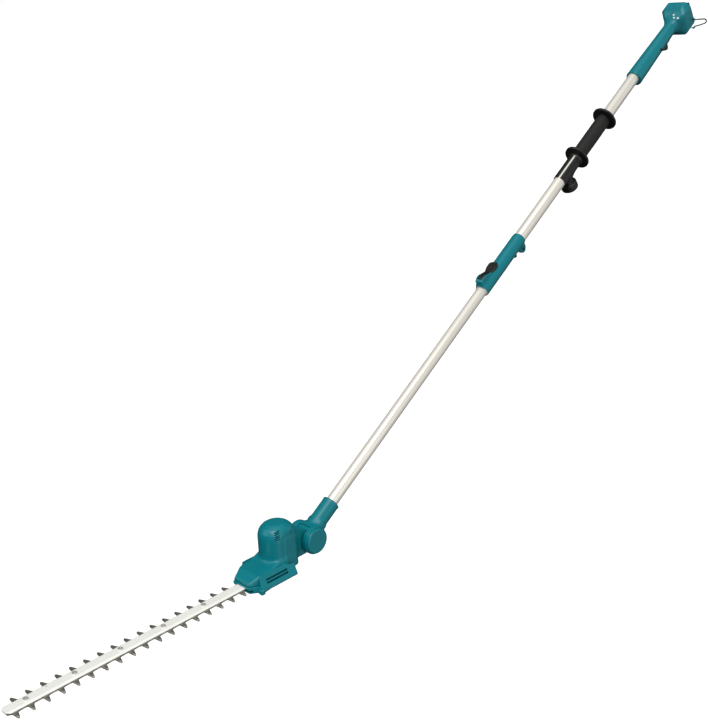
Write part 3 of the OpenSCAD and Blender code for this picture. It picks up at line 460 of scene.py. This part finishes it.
def cover(p):
    x, y, z = p
    base = plan(p, COVER_PLAN, COVER, FLOOR + 6, 2.6, 2.6)
    base = both(base, z - FLOOR + 0.12, 0.8)
    dome_gap = np.hypot(x - XM, y) - DOME_R - 0.35
    near = skirt(p, 47.5, -30.5, -157.5, -69)
    q = [x, -y, z]
    far = skirt(q, 41.5, -32.5, -139, -78)
    for k in (0, 1):
        r = turn(p, "x", 59, (0, -39.9 - 2.9 * k, -16.8 - 5.1 * k))
        near = cut(near, block(r, -142, -89, -1.6, 1.6, -7, 7, 1.2), 0.4)
        r = turn(q, "x", 72, (0, -36.5 - 1.4 * k, -18.6 - 4.6 * k))
        far = cut(far, block(r, -129, -93, -1.2, 1.2, -6, 6, 1.0), 0.4)
    sides = cut(join(near, far), join(dome_gap, outline(x, y, HEAD_PLAN, 3.0) - 0.25))
    sides = cut(sides, outline(x, y, [(-168, -22), (-168, 18), (-140, 27), (-84, 29), (-62, 20), (-62, -20),
                                      (-84, -29), (-150, -28)], 1.0))
    d = join(base, sides, 2.0)
    d = join(d, block(p, -160.5, -151.5, -47.6, -38, COVER, -30, 1.4), 1.5)
    d = join(d, block(p, -150, -142, 26, 33.5, COVER, -30, 1.2), 1.0)
    # mouth for the blades, and the rooms above
    d = cut(d, block(p, -200, -156, -28.6, 28.6, ZT - 2.4, ZT + 2.4, 0.6), 0.5)
    d = cut(d, block(p, -200, -150, -13.2, 13.2, ZT - 1, BAR_Z + 3.7, 0.4), 0.4)
    d = cut(d, block(p, -158, -90, -22, 22, ZT - 2.4, FLOOR + 10, 0.4))
    d = cut(d, plan(p, [(-148, -22), (-148, 22), (-62, 15), (-62, -15)], ZT - 2.4, FLOOR + 10, 0.5, 1))
    for bx, by in ((-151, -26.6), (-147, 24), (-65, -19.5), (-65, 19.5)):
        d = cut(d, zdisc(p, bx, by, 3.5, COVER - 2, COVER + 3, 0.3), 0.4)
    return d


carve("motor_housing", housing, (-176, -40, -30), (6, 40, 68), 1.1, HEAD, TEAL, "head",
      ["head_housing"])
carve("lower_cover_shell", cover, (-176, -52, -42), (-52, 46, -6), 1.0, HEAD, TEAL, "head",
      ["lower_cover"])

# ------------------------------------------------------------------ cutting gear


def tooth(x, s):
    return [(x - 5.5, s * STRIP), (x - 4.9, s * (STRIP + 5)), (x - 4.5, s * (STRIP + 10)), (x - 3.8, s * TIP),
            (x - 0.8, s * (TIP - 0.3)), (x + 0.4, s * (TIP - 3.5)), (x + 2.2, s * (STRIP + 8)),
            (x + 4.0, s * (STRIP + 2.8)), (x + 5.6, s * (STRIP + 0.9)), (x + 8, s * STRIP)]


def stadium(x, half, r, steps=8):
    return ([(x + half + r * math.cos(a), r * math.sin(a)) for a in np.linspace(-math.pi / 2, math.pi / 2,
                                                                                steps)]
            + [(x - half - r * math.cos(a), -r * math.sin(a)) for a in np.linspace(-math.pi / 2, math.pi / 2,
                                                                                   steps)])


def blade_outline(window):
    near = [q for i in range(TEETH) for q in tooth(XT + 2.2 + i * PITCH, -1)]
    far = [q for i in reversed(range(TEETH - 1)) for q in reversed(tooth(XT + 2.2 + STAGGER + i * PITCH, 1))]
    rear = [(window - 30, -STRIP), (window - 27, -20), (window + 27, -20), (window + 27, 20),
            (window - 27, 20),
            (window - 30, STRIP)]
    return [[(XT - 10, -STRIP + 4)] + near + rear + far + [(XT - 10, STRIP - 4)],
            [(window - 22, -15.5), (window + 22, -15.5), (window + 22, 15.5), (window - 22, 15.5)]] + [
        stadium(x, STROKE, 4.15) for x in SCREW_X]


sheet_metal("top_blade_plate", blade_outline(XC - STROKE / 2), ZT + 0.02, ZT + BLADE_T, 0.45, HEAD, BLADE,
            "top_blade",
            ["upper_blade"])
sheet_metal("bottom_blade_plate", blade_outline(XC + STROKE / 2), ZT - BLADE_T, ZT - 0.02, 0.45, HEAD, BLADE,
            "bottom_blade", ["lower_blade"])


def bar(p):
    x, y, _ = p
    d = both(outline(x, y, [(XT - 12, -6), (XT - 6, -12.5), (-137, -12.5), (-137, 12.5), (XT - 6, 12.5),
                            (XT - 12, 6)], 1.5),
             section(p, [(-12.5, BAR_Z), (12.5, BAR_Z), (12.5, BAR_Z + 1.1), (8.8, BAR_Z + 3.2),
                         (-8.8, BAR_Z + 3.2), (-12.5, BAR_Z + 1.1)], XT - 30, -130, 0.3, 0.3), 0.4)
    for sx in SCREW_X:
        d = cut(d, zdisc(p, sx, 0, 2.6, BAR_Z - 3, BAR_Z + 9, 0.1))
    d = cut(d, zdisc(p, XT + 68, 6, 2.2, BAR_Z - 3, BAR_Z + 9, 0.1), 0.3)
    return d


carve("blade_guide_bar", bar, (XT - 18, -15, BAR_Z - 2), (-134, 15, BAR_Z + 5), 0.75, HEAD, BAR, "head",
      ["guide_bar"])


# ------------------------------------------------------------------ tilt knuckle
CAP_R = 27.5


def socket(p, near):
    x, y, z = p
    cheeks = ydisc(p, 0, 0, CAP_R, -27, 25, 1.6)
    sleeve = turned(x, np.hypot(y, z), [(12, 17.3), (80, 17.3), (82.5, 17.8), (84.2, 17.8), (85, 17)])
    gusset = side(p, [(4, -12), (40, -10), (40, 10), (4, 12)], -19, 19, 5.0, 4)
    d = join(cheeks, join(sleeve, gusset, 6.0), 5.0)
    swing = join(ydisc(p, 0, 0, 26, -16.1, 13.1, 0.3),
                 side(p, [(0, 0), (16, 30), (10, 40), (-40, 60), (-70, 0),
                 (-40, -60), (0, -42), (27, -27)], -16.1, 13.1, 0.3, 0.3))
    d = cut(d, swing, 0.5)
    d = cut(d, xdisc(p, 12.25, 34, 100, 0.1), 0.4)
    d = cut(d, ydisc(p, 0, 0, 25.6, -40, -19, 0.2), 0.6)
    d = cut(d, ydisc(p, 0, 0, 25.6, 21, 40, 0.2), 0.6)
    d = cut(d, ydisc(p, 0, 0, 5.1, -40, 40, 0.1))
    for sz in (-9.6, 9.6):
        d = cut(d, ydisc(p, 29.6, sz, 2.9, 12, 30, 0.2), 0.3)
    return both(d, y + 0.1 if near else 0.1 - y, 0.5)


carve("tilt_socket_near", lambda p: socket(p, True), (-32, -31, -32), (90, 3, 32), 0.95, POLE, TEAL,
      "lower_pole",
      ["socket_near"])
carve("tilt_socket_far", lambda p: socket(p, False), (-32, -3, -32), (90, 29, 32), 0.95, POLE, TEAL,
      "lower_pole",
      ["socket_far"])


def button(p):
    x, y, z = p
    r = np.hypot(x, z)
    d = turned(-y, r,
               [(23, 25.5), (29.2, 25.5), (30.4, 25.0), (31.4, 23.6), (32.0, 21.4), (31.85, 19), (31.7, 0)])
    return cut(d, ydisc(p, 0, 0, 22, -27, -10, 0.5), 0.4)


def cap(p):
    x, y, z = p
    d = turned(y, np.hypot(x, z),
               [(25.0, 27.0), (27.0, 27.0), (28.4, 25.8), (29.3, 23.4), (29.5, 20), (29.5, 0)])
    return cut(d, join(turned(y, np.abs(np.hypot(x, z) - 19.0), [(29.1, 0.5), (40, 0.5)]) + 0.0,
                       ydisc(p, 0, 0, 10, 20, 25.5, 0.3)), 0.4)


carve("tilt_lock_cap", button, (-29, -34, -29), (29, -21, 29), 0.9, POLE, TEAL, "tilt_lock",
      ["lock_button"])
carve("knuckle_far_cap", cap, (-30, 23, -30), (30, 31, 30), 0.9, POLE, TEAL, "lower_pole",
      ["far_cap"])

# ------------------------------------------------------------------ telescope clamp
CLAMP_A, CLAMP_B, UP_START = 669.0, 836.0, 742.0
LEV = CLAMP_A + 17
CLAMP_SCREWS = ((CLAMP_A + 5, 19.5, 7), (801, -20.5, 2.4), (822, -19.6, 2.4))


def clamp(p, near):
    x, y, z = p
    d = turned(x, np.hypot(y, z),
               [(CLAMP_A, 14.4), (CLAMP_A + 0.6, 15.3), (CLAMP_A + 3, 16), (CLAMP_B - 7, 16),
                                   (CLAMP_B - 1, 15.2), (CLAMP_B, 14.4)])
    hood = side(p, [(CLAMP_A, 0), (CLAMP_A, 15), (CLAMP_A + 4, 25), (CLAMP_A + 12, 29), (CLAMP_A + 20, 29),
                    (CLAMP_A + 34, 22), (CLAMP_A + 52, 16), (CLAMP_A + 52, 0)], -10, 10, 2.0, 2.0)
    d = join(d, hood, 4.0)
    lug = side(p, [(816, -8), (816, -22), (820, -31), (827, -36.5), (834, -36), (840, -29), (841, -20),
                   (834, -8)],
               -4, 4, 1.2, 2.5)
    d = join(d, lug, 3.0)
    stub = slab(np.hypot(x - 801, y) - 4.3, z, -25, 0, 1.2)
    d = join(d, stub, 2.5)
    d = cut(d, turned(x, np.hypot(y, z),
                      [(CLAMP_A - 4, 14.5), (UP_START, 14.5), (UP_START, 13.8), (CLAMP_B - 3, 13.8),
                                          (CLAMP_B - 3, 14.3), (CLAMP_B + 5, 14.3)]))
    d = cut(d, block(p, CLAMP_A + 9.5, CLAMP_A + 60, -7.4, 7.4, 13, 44, 0.4), 0.5)
    d = cut(d, block(p, CLAMP_A + 40, CLAMP_A + 82, -22, 22, 15.6, 44, 0.4), 0.5)
    d = cut(d, ydisc(p, 829, -27.5, 4.2, -10, 10, 0.1), 0.8)
    for s, sz, sy in CLAMP_SCREWS:
        d = cut(d, ydisc(p, s, sz, 2.9, sy, 30, 0.2), 0.3)
    return both(d, y + 0.1 if near else 0.1 - y, 0.5)


carve("clamp_shell_near", lambda p: clamp(p, True), (664, -20, -40), (842, 3, 34), 0.9, POLE, TEAL,
      "handle_pole",
      ["clamp_near"])
carve("clamp_shell_far", lambda p: clamp(p, False), (664, -3, -40), (842, 20, 34), 0.9, POLE, TEAL,
      "handle_pole",
      ["clamp_far"])


def lever(p):
    x, y, _ = p
    hub = ydisc(p, LEV, 21, 6, -7, 7, 0.8)
    arm = side(p,
               [(LEV, 15), (LEV, 27), (LEV + 8, 26.8), (LEV + 25, 19.6), (LEV + 36, 20.6), (LEV + 49, 21.2),
                   (LEV + 54, 19), (LEV + 54, 15.4), (LEV + 8, 15)], -12, 12, 0.9, 0.8)
    half = [(LEV - 4, 7), (LEV + 21, 7), (LEV + 27, 9.8), (LEV + 35, 11.6), (LEV + 46, 11.6),
            (LEV + 51.5, 8.5),
            (LEV + 54.5, 4)]
    wide = outline(x, y, half + [(u, -v) for u, v in reversed(half)], 1.5)
    d = join(hub, both(arm, wide, 1.0), 1.0)
    for k in range(4):
        d = cut(d, block(p, LEV + 34 + 4.2 * k, LEV + 35.6 + 4.2 * k, -8, 8, 20.1, 30, 0.5), 0.5)
    d = cut(d, xdisc(p, 16.15, 640, 900, 0.1), 0.3)
    return cut(d, ydisc(p, LEV, 21, 2.05, -20, 20, 0.05))


carve("clamp_lever_cam", lever, (LEV - 9, -14, 10), (LEV + 64, 14, 30), 0.6, POLE, BLACK, "pole_lever",
      ["clamp_lever"])

# ------------------------------------------------------------------ tubes and rings
def pipe(name, profile, mat, body, stands_for):
    """Turned part on the pole axis; profile is a closed (s, r) outline."""
    steps = 96
    bm = bmesh.new()
    rings = [[bm.verts.new(POLE @ Vector((s, r * math.cos(a), r * math.sin(a)))) for s, r in profile]
             for a in [2 * math.pi * q / steps for q in range(steps)]]
    n = len(profile)
    for q in range(steps):
        a, b = rings[q], rings[(q + 1) % steps]
        for k in range(n):
            bm.faces.new((a[k], a[(k + 1) % n], b[(k + 1) % n], b[k]))
    bmesh.ops.recalc_face_normals(bm, faces=bm.faces)
    mesh = bpy.data.meshes.new(name)
    bm.to_mesh(mesh)
    bm.free()
    mesh.shade_smooth()
    mesh.set_sharp_from_angle(angle=math.radians(32))
    return finish_piece(bpy.data.objects.new(name, mesh), mat, body, stands_for)


def ring_profile(a, b, outer, inner, c=0.5):
    return [(a, inner + c * 0.4), (a, outer - c), (a + c * 0.3, outer - c * 0.3), (a + c, outer),
            (b - c, outer),
            (b - c * 0.3, outer - c * 0.3), (b, outer - c), (b, inner + c * 0.4), (b - c * 0.4, inner),
            (a + c * 0.4, inner)]


pipe("lower_tube_satin", ring_profile(34, 880, 12.2, 10.9, 0.4), TUBE, "lower_pole",
     ["lower_tube"])
pipe("upper_tube_satin", ring_profile(742, 1500, 13.8, 12.5, 0.4), TUBE, "handle_pole",
     ["upper_tube"])
pipe("mouth_trim", ring_profile(CLAMP_A - 1.2, CLAMP_A + 8, 14.5, 12.25, 0.7), RING, "handle_pole",
     ["pole_rings"])
pipe("clamp_rear_trim", ring_profile(CLAMP_B - 3, CLAMP_B + 1.2, 14.3, 13.8, 0.3), RING, "handle_pole",
     ["pole_rings"])

# ------------------------------------------------------------------ front grip
GRIP_A, GRIP_B = 1022.0, 1254.0


def grip(p):
    x, y, z = p
    r = np.hypot(y, z)
    d = turned(x - 0.06 * y, r,
               [(GRIP_A, 15.2), (GRIP_A + 0.8, 16), (GRIP_A + 60, 16), (1098, 16), (1101, 17.5),
                                 (1103.2, 25.0), (1104.4, 28.8), (1106, 30.5), (1109.6, 30.5), (1111.2, 28.8),
                                 (1112.2, 25), (1113, 16.4), (1240.6, 16.4), (1241.6, 25), (1242.6, 28.8),
                                 (1244.2, 30.5), (1247.6, 30.5), (1249.2, 28.9), (1250.6, 23), (1252, 17.5),
                                 (GRIP_B - 0.6, 16.6), (GRIP_B, 15.4)])
    pad = side(p, [(1036, -6), (1036, -21), (1056, -21), (1074, -14), (1082, -6)], -9, 9, 1.5, 2.5)
    boss = slab(np.hypot(x - 1048, y) - 12.5, z, -21, 0, 0.8)
    d = join(d, join(pad, boss, 2), 3.0)
    d = cut(d, xdisc(p, 13.86, 1000, 1300, 0.1))
    q = turn(p, "x", 17)
    d = cut(d, block(q, 1000, 1100, -2.5, 2.5, 5, 60, 0.4), 0.6)
    d = cut(d, slab(np.hypot(x - 1048, y) - 3.05, z, -50, 5, 0.1))
    return d


carve("front_grip_core", grip, (1016, -33, -33), (1264, 33, 33), 1.15, POLE, BLACK, "front_grip",
      ["grip_core"])
foam_profile = [(1113.2, 15.05)] + [
    (1113.2 + 127 * t,
     16.5 + 0.5 * math.sin(math.pi * t) ** 0.4 if 0 < t < 1 else 16.0) for t in np.linspace(0, 1, 25)
] + [(1240.2, 15.05)]
pipe("front_grip_foam", foam_profile, FOAM, "front_grip", ["soft_grip"])


def knob(p):
    q = [p[0] - 1048, p[1], -p[2]]
    d = slab(np.hypot(q[0], q[1]) - 19.6, q[2], 23.6, 42.4, 3.0)
    d = join(d, slab(np.hypot(q[0], q[1]) - 12.8, q[2], 21.2, 30, 0.6), 2.0)
    for k in range(30):
        a = math.radians(12 * k)
        d = cut(d, np.hypot(q[0] - 21.2 * math.cos(a), q[1] - 21.2 * math.sin(a)) - 0.8, 0.5)
    return cut(d, slab(np.hypot(q[0], q[1]) - 11, q[2], 41.4, 50, 0.3), 0.5)


carve("grip_clamp_knob", knob, (1024, -24, -45), (1072, 24, -19), 0.7, POLE, BLACK, "grip_knob",
      ["clamp_knob"])

# ------------------------------------------------------------------ rear handle and battery housing
HAN_A, BOX_B, HAN_Z = 1398.0, 1662.0, -2.8


def rear_body(p, near):
    x, y, z = p
    grip_part = turned(x, np.hypot(y, z - HAN_Z), [(HAN_A, 18.4), (HAN_A + 0.8, 19.6), (HAN_A + 2.4, 20.2),
                                                   (HAN_A + 60, 19.1), (1550, 17.0), (1620, 15.6)])
    guard = side(p, [(1512, -6), (1518, -18.6), (1530, -21.4), (1566, -21.4), (1576, -17), (1582, -6)], -8,
                 8, 2.5, 3)
    d = join(grip_part, guard, 5.0)
    sec = outline(y, z,
                  [(-34.4, -28), (-25, -38.4), (25, -38.4), (34.4, -28), (34.4, 20), (23, 31.4), (-23, 31.4),
                         (-34.4, 20)], 7)
    lengthwise = side(p, [(1600, -14), (1611, -31), (1621, -46), (BOX_B, -46), (BOX_B, 42), (1647, 42),
                          (1636, 30.4),
                          (1608, 12.6), (1600, 8)], -90, 90, 1, 3)
    wide = plan(p, [(1600, -12), (1616, -32), (1624, -60), (BOX_B + 9, -60), (BOX_B + 9, 60), (1638, 60),
                    (1630, 32),
                    (1600, 12)], -90, 90, 1, 3)
    box = both(both(sec, lengthwise, 8.0), wide, 8.0)
    box = both(box, x - BOX_B + 0.1, 4.0)
    d = join(d, box, 9.0)
    d = both(d, x - BOX_B + 0.1, 1.0)
    inner = d + 2.4
    d = cut(d, both(inner, 1606 - x))
    d = cut(d, block(p, BOX_B - 9, BOX_B + 12, -22, 22, -24, 24, 1.0), 0.4)
    d = cut(d, xdisc(p, 13.86, HAN_A - 9, 1501, 0.1))
    d = cut(d, block(p, 1520, 1568, -6.2, 6.2, -40, -7, 0.6), 0.6)
    d = cut(d, ydisc(p, 1514, -4, 4.2, -30, -5, 0.1), 0.6)
    q = panel_frame(p)
    d = cut(d, zdisc(q, 0, 0, 3.2, -14, 20, 0.2), 0.3)
    for a, b in LAMPS:
        d = cut(d, zdisc(q, a, b, 2.3, -14, 20, 0.1), 0.3)
    for s, sz, sy in HANDLE_SCREWS:
        d = cut(d, ydisc(p, s, sz, 2.9, sy, 60, 0.2), 0.3)
    return both(d, y + 0.1 if near else 0.1 - y, 0.5)


PANEL = (1613, -19.8, 15.5)
LAMPS = ((1.7, 11), (8.8, 13.6))
HANDLE_SCREWS = ((1420, -17.4, 8), (1496, -15.9, 8), (1654.6, 24.2, 20), (1654.6, -27.6, 20))


def panel_frame(p):
    return turn(p, "y", -32.5, PANEL)


carve("handle_shell_near", lambda p: rear_body(p, True), (1392, -38, -44), (1668, 3, 38), 1.15, POLE, TEAL,
      "handle_pole", ["handle_near"])
carve("handle_shell_far", lambda p: rear_body(p, False), (1392, -3, -44), (1668, 38, 38), 1.15, POLE, TEAL,
      "handle_pole", ["handle_far"])


def trigger_shape(p):
    blade = side(p, [(1522, -9), (1523.5, -18), (1532, -22.5), (1541, -28), (1549, -33), (1556, -36.2),
                     (1561, -34), (1563, -28), (1563, -15), (1540, -11)], -5.7, 5.7, 1.6, 1.5)
    d = join(blade, ydisc(p, 1527, -12, 3.8, -5.7, 5.7, 0.4), 1.0)
    return cut(d, ydisc(p, 1527, -12, 1.55, -9, 9, 0.05))


carve("trigger_blade", trigger_shape, (1516, -8, -42), (1570, 8, -5), 0.6, POLE, BLACK, "trigger_lever",
      ["trigger"])


def lock_off(p):
    x, y, z = p
    d = turned(-y, np.hypot(x - 1514, z + 4), [(6, 3.9), (18.4, 3.9), (19.2, 3.4), (19.5, 2.6), (19.3, 0)])
    return join(d, ydisc(p, 1514, -4, 4.8, -11.4, -9.4, 0.3))


carve("lock_off_cap", lock_off, (1506, -21, -12), (1522, -4, 4), 0.45, POLE, BLACK, "lock_off",
      ["lock_off_button"])


def power(p):
    q = panel_frame(p)
    d = zdisc(q, 0, 0, 2.9, -3, 1.0, 0.5)
    return join(d, zdisc(q, 0, 0, 3.8, -3.6, -2.8, 0.1))


def lamps(p):
    q = panel_frame(p)
    d = np.full(p[0].shape, 1e3)
    for a, b in LAMPS:
        d = join(d, zdisc(q, a, b, 2.2, -4, 0.7, 0.45))
    return d


carve("power_button_cap", power, (1603, -27, 5), (1624, -12, 26), 0.4, POLE, MARK, "power",
      ["power_button"])
carve("lamp_lens_pair", lamps, (1606, -12.5, 5), (1630, -2.5, 30), 0.35, POLE, LENS, "handle_pole",
      ["lamp_lenses"])

# battery interface
def rails(p):
    x, y, z = p
    d = block(p, BOX_B, BOX_B + 2.5, -29, 29, -33, 25, 1.0)
    d = join(d, block(p, BOX_B - 3, BOX_B + 1, -21.5, 21.5, -23.5, 23.5, 0.4))
    for s in (-1, 1):
        q = [x, s * y, z]
        d = join(d, join(block(q, BOX_B + 1, BOX_B + 8, 21, 24, -29, 20, 0.6),
                         block(q, BOX_B + 5.8, BOX_B + 8, 18, 24, -29, 20, 0.6), 0.4), 0.5)
    d = join(d, block(p, BOX_B + 1, BOX_B + 6, -12, 12, -4, 20, 0.8), 0.8)
    for s in (-1, 1):
        d = cut(d, block(p, BOX_B - 4, BOX_B + 9, s * 8 - 1.6, s * 8 + 1.6, -2, 18, 0.3), 0.3)
    d = cut(d, block(p, BOX_B + 1.4, BOX_B + 9, -9, 9, -22, -14, 0.8), 0.5)
    return d


carve("battery_rail_plate", rails, (BOX_B - 6, -32, -36), (BOX_B + 11, 32, 30), 0.85, POLE, BLACK,
      "handle_pole",
      ["battery_plate"])

# hanging wire
WIRE_R = 1.6
loop_at = Matrix.Translation(Vector((1645.6, -37.8, -23.6))) @ Matrix.Rotation(math.radians(-65.4), 4,
                                                                               "Y") @ \
    Matrix.Rotation(math.radians(-90), 4, "Z")
wire_at = POLE @ loop_at @ Matrix.Rotation(math.radians(53), 4, "Y")
wire = [(0, 12.4, 0), (0, 10.2, 0), (0.5, 8.8, 0), (1.8, 8.0, 0), (4, 7.9, 0), (10, 7.6, 0), (17, 7.0, 0),
        (22, 6.3, 0)]
wire += [(26.8 + 6.6 * math.sin(a), 5.4 * math.cos(a), 0) for a in np.radians(range(15, 180, 15))]
wire += [(x, -y, z) for x, y, z in reversed(wire[:8])]
tube("hanging_wire_loop", [wire_at @ Vector(q) for q in wire], WIRE_R / 1000, WIRE, "hanging_wire",
     ["wire_loop"])


# the two ears that carry it
def ears(p):
    m = np.linalg.inv(np.array(loop_at))
    q = [m[i, 0] * p[0] + m[i, 1] * p[1] + m[i, 2] * p[2] + m[i, 3] for i in range(3)]
    d = np.full(p[0].shape, 1e3)
    for s in (-1, 1):
        e = join(ydisc(q, 0, 0, 3.2, s * 11.1 - 1.2, s * 11.1 + 1.2, 0.4),
                 block(q, -8, 0, s * 11.1 - 1.2, s * 11.1 + 1.2, -3.2, 3.2, 0.4), 0.3)
        d = join(d, cut(e, ydisc(q, 0, 0, WIRE_R + 0.05, -30, 30, 0.02)))
    return both(d, p[1] + 31.5)


carve("hanging_wire_ears", ears, (1630, -46, -46), (1664, -28, 0), 0.5, POLE, TEAL, "handle_pole")

# ------------------------------------------------------------------ CAD pieces that keep their shape
KEEP = {
    "blade_nuts": STEEL, "bar_screws": STEEL, "head_screws": STEEL, "gear_case": BAR, "crank_gear": STEEL,
    "crank_bearings": STEEL, "motor_can": DARK, "motor_magnets": DARK, "brush_cap": BLACK,
    "armature_core": COPPER,
    "commutator": COPPER, "motor_shaft": STEEL, "cooling_fan": BLACK, "motor_bearings": STEEL,
    "detent_plate": STEEL,
    "socket_screws": STEEL, "pivot_bolt": STEEL, "pivot_nut": STEEL, "lock_pin": STEEL, "lock_spring": STEEL,
    "end_bush": BLACK, "lower_lead": LEAD, "coiled_lead": LEAD, "collet": BLACK, "lever_pin": STEEL,
    "knob_bolt": STEEL,
    "knob_nut": STEEL, "shell_screws": STEEL, "trigger_pin": STEEL, "trigger_spring": STEEL,
    "switch_body": BLACK,
    "lock_off_spring": STEEL, "control_board": BOARD, "battery_terminals": BRASS}
for node, mat in KEEP.items():
    obj = frame["nodes"][node]
    obj.data.materials.clear()
    obj.data.materials.append(mat)
    if not obj.hide_render:
        bevel = obj.modifiers.new("edge", "BEVEL")
        bevel.width, bevel.segments, bevel.limit_method = 0.00018, 2, "ANGLE"
        bevel.angle_limit = math.radians(40)
        bevel.harden_normals = False

# ------------------------------------------------------------------ camera, floor and light
scene = bpy.context.scene
cam = bpy.data.objects.new("camera", bpy.data.cameras.new("camera"))
scene.collection.objects.link(cam)
cam.location = PIVOT + Vector((-1.25629, -1.43255, 0.99106))
look, above = Vector((0.66644, 0.67477, -0.31709)).normalized(), Vector((0.26633, 0.18177, 0.94659))
right = look.cross(above).normalized()
above = right.cross(look)
cam.matrix_world = Matrix.Translation(cam.location) @ Matrix((
    (right.x, above.x, -look.x, 0), (right.y, above.y, -look.y, 0), (right.z, above.z, -look.z, 0),
    (0, 0, 0, 1)))
cam.data.sensor_fit, cam.data.sensor_width, cam.data.lens = "AUTO", 36.0, 54.52
cam.data.clip_start, cam.data.clip_end = 0.05, 3000
scene.camera = cam

bpy.ops.mesh.primitive_circle_add(vertices=96, radius=900, fill_type="NGON", location=(0, 0, PIVOT.z - 0.86))
floor = bpy.context.object
floor.name = "floor"
paper = material("paper", (0.93, 0.93, 0.925, 1), rough=0.9, vary=0.0, grain=40, bump=0.0, specular=0.1)
floor.data.materials.append(paper)

world = bpy.data.worlds.new("studio")
scene.world = world
world.use_nodes = True
nt = world.node_tree
nt.nodes.clear()
new, link = nt.nodes.new, nt.links.new
coords = new("ShaderNodeTexCoord")


def glow(base, lobes):
    """Brightness by direction: base plus soft round panels (direction, inner and outer angle, level)."""
    value = None
    for where, inner, outer, level in lobes:
        dot, soft = new("ShaderNodeVectorMath"), new("ShaderNodeMapRange")
        dot.operation = "DOT_PRODUCT"
        dot.inputs[1].default_value = Vector(where).normalized()
        link(coords.outputs["Generated"], dot.inputs[0])
        soft.interpolation_type = "SMOOTHSTEP"
        soft.inputs["From Min"].default_value = math.cos(math.radians(outer))
        soft.inputs["From Max"].default_value = math.cos(math.radians(inner))
        soft.inputs["To Max"].default_value = level
        link(dot.outputs["Value"], soft.inputs["Value"])
        add = new("ShaderNodeMath")
        if value is None:
            add.inputs[0].default_value = base
        else:
            link(value, add.inputs[0])
        link(soft.outputs[0], add.inputs[1])
        value = add.outputs[0]
    bg = new("ShaderNodeBackground")
    bg.inputs["Color"].default_value = (1, 1, 1, 1)
    link(value, bg.inputs["Strength"])
    return bg.outputs[0]


# wide soft light on the near side, seen by both kinds of ray
front = ((0.2, -1, -0.2), 20, 80, 0.4)
even = glow(0.12, [((-0.1, -0.1, 1), 15, 100, 0.75), ((-0.75, -0.55, 0.35), 5, 60, 0.35), front])
gloss = glow(0.04, [((-0.2, -1, 0.0), 6, 34, 1.1), ((-0.85, 0.53, 0.6), 4, 26, 2.4), ((0, 0, 1), 10, 42, 0.8),
                    ((1, -0.5, 0.4), 5, 25, 0.5), front])
path, seen = new("ShaderNodeLightPath"), new("ShaderNodeBackground")
seen.inputs["Color"].default_value = (1, 1, 1, 1)
first, second, out = new("ShaderNodeMixShader"), new("ShaderNodeMixShader"), new("ShaderNodeOutputWorld")
link(path.outputs["Is Glossy Ray"], first.inputs[0])
link(even, first.inputs[1])
link(gloss, first.inputs[2])
link(path.outputs["Is Camera Ray"], second.inputs[0])
link(first.outputs[0], second.inputs[1])
link(seen.outputs[0], second.inputs[2])
link(second.outputs[0], out.inputs[0])
floor.visible_glossy = floor.visible_diffuse = False

sun = bpy.data.objects.new("sun", bpy.data.lights.new("sun", "SUN"))
scene.collection.objects.link(sun)
sun.data.energy, sun.data.angle = 1.9, math.radians(40)
sun.rotation_euler = Vector((0.62, 0.3, -1)).to_track_quat("-Z", "Y").to_euler()
scene.view_settings.view_transform = "Standard"
scene.view_settings.look = "None"
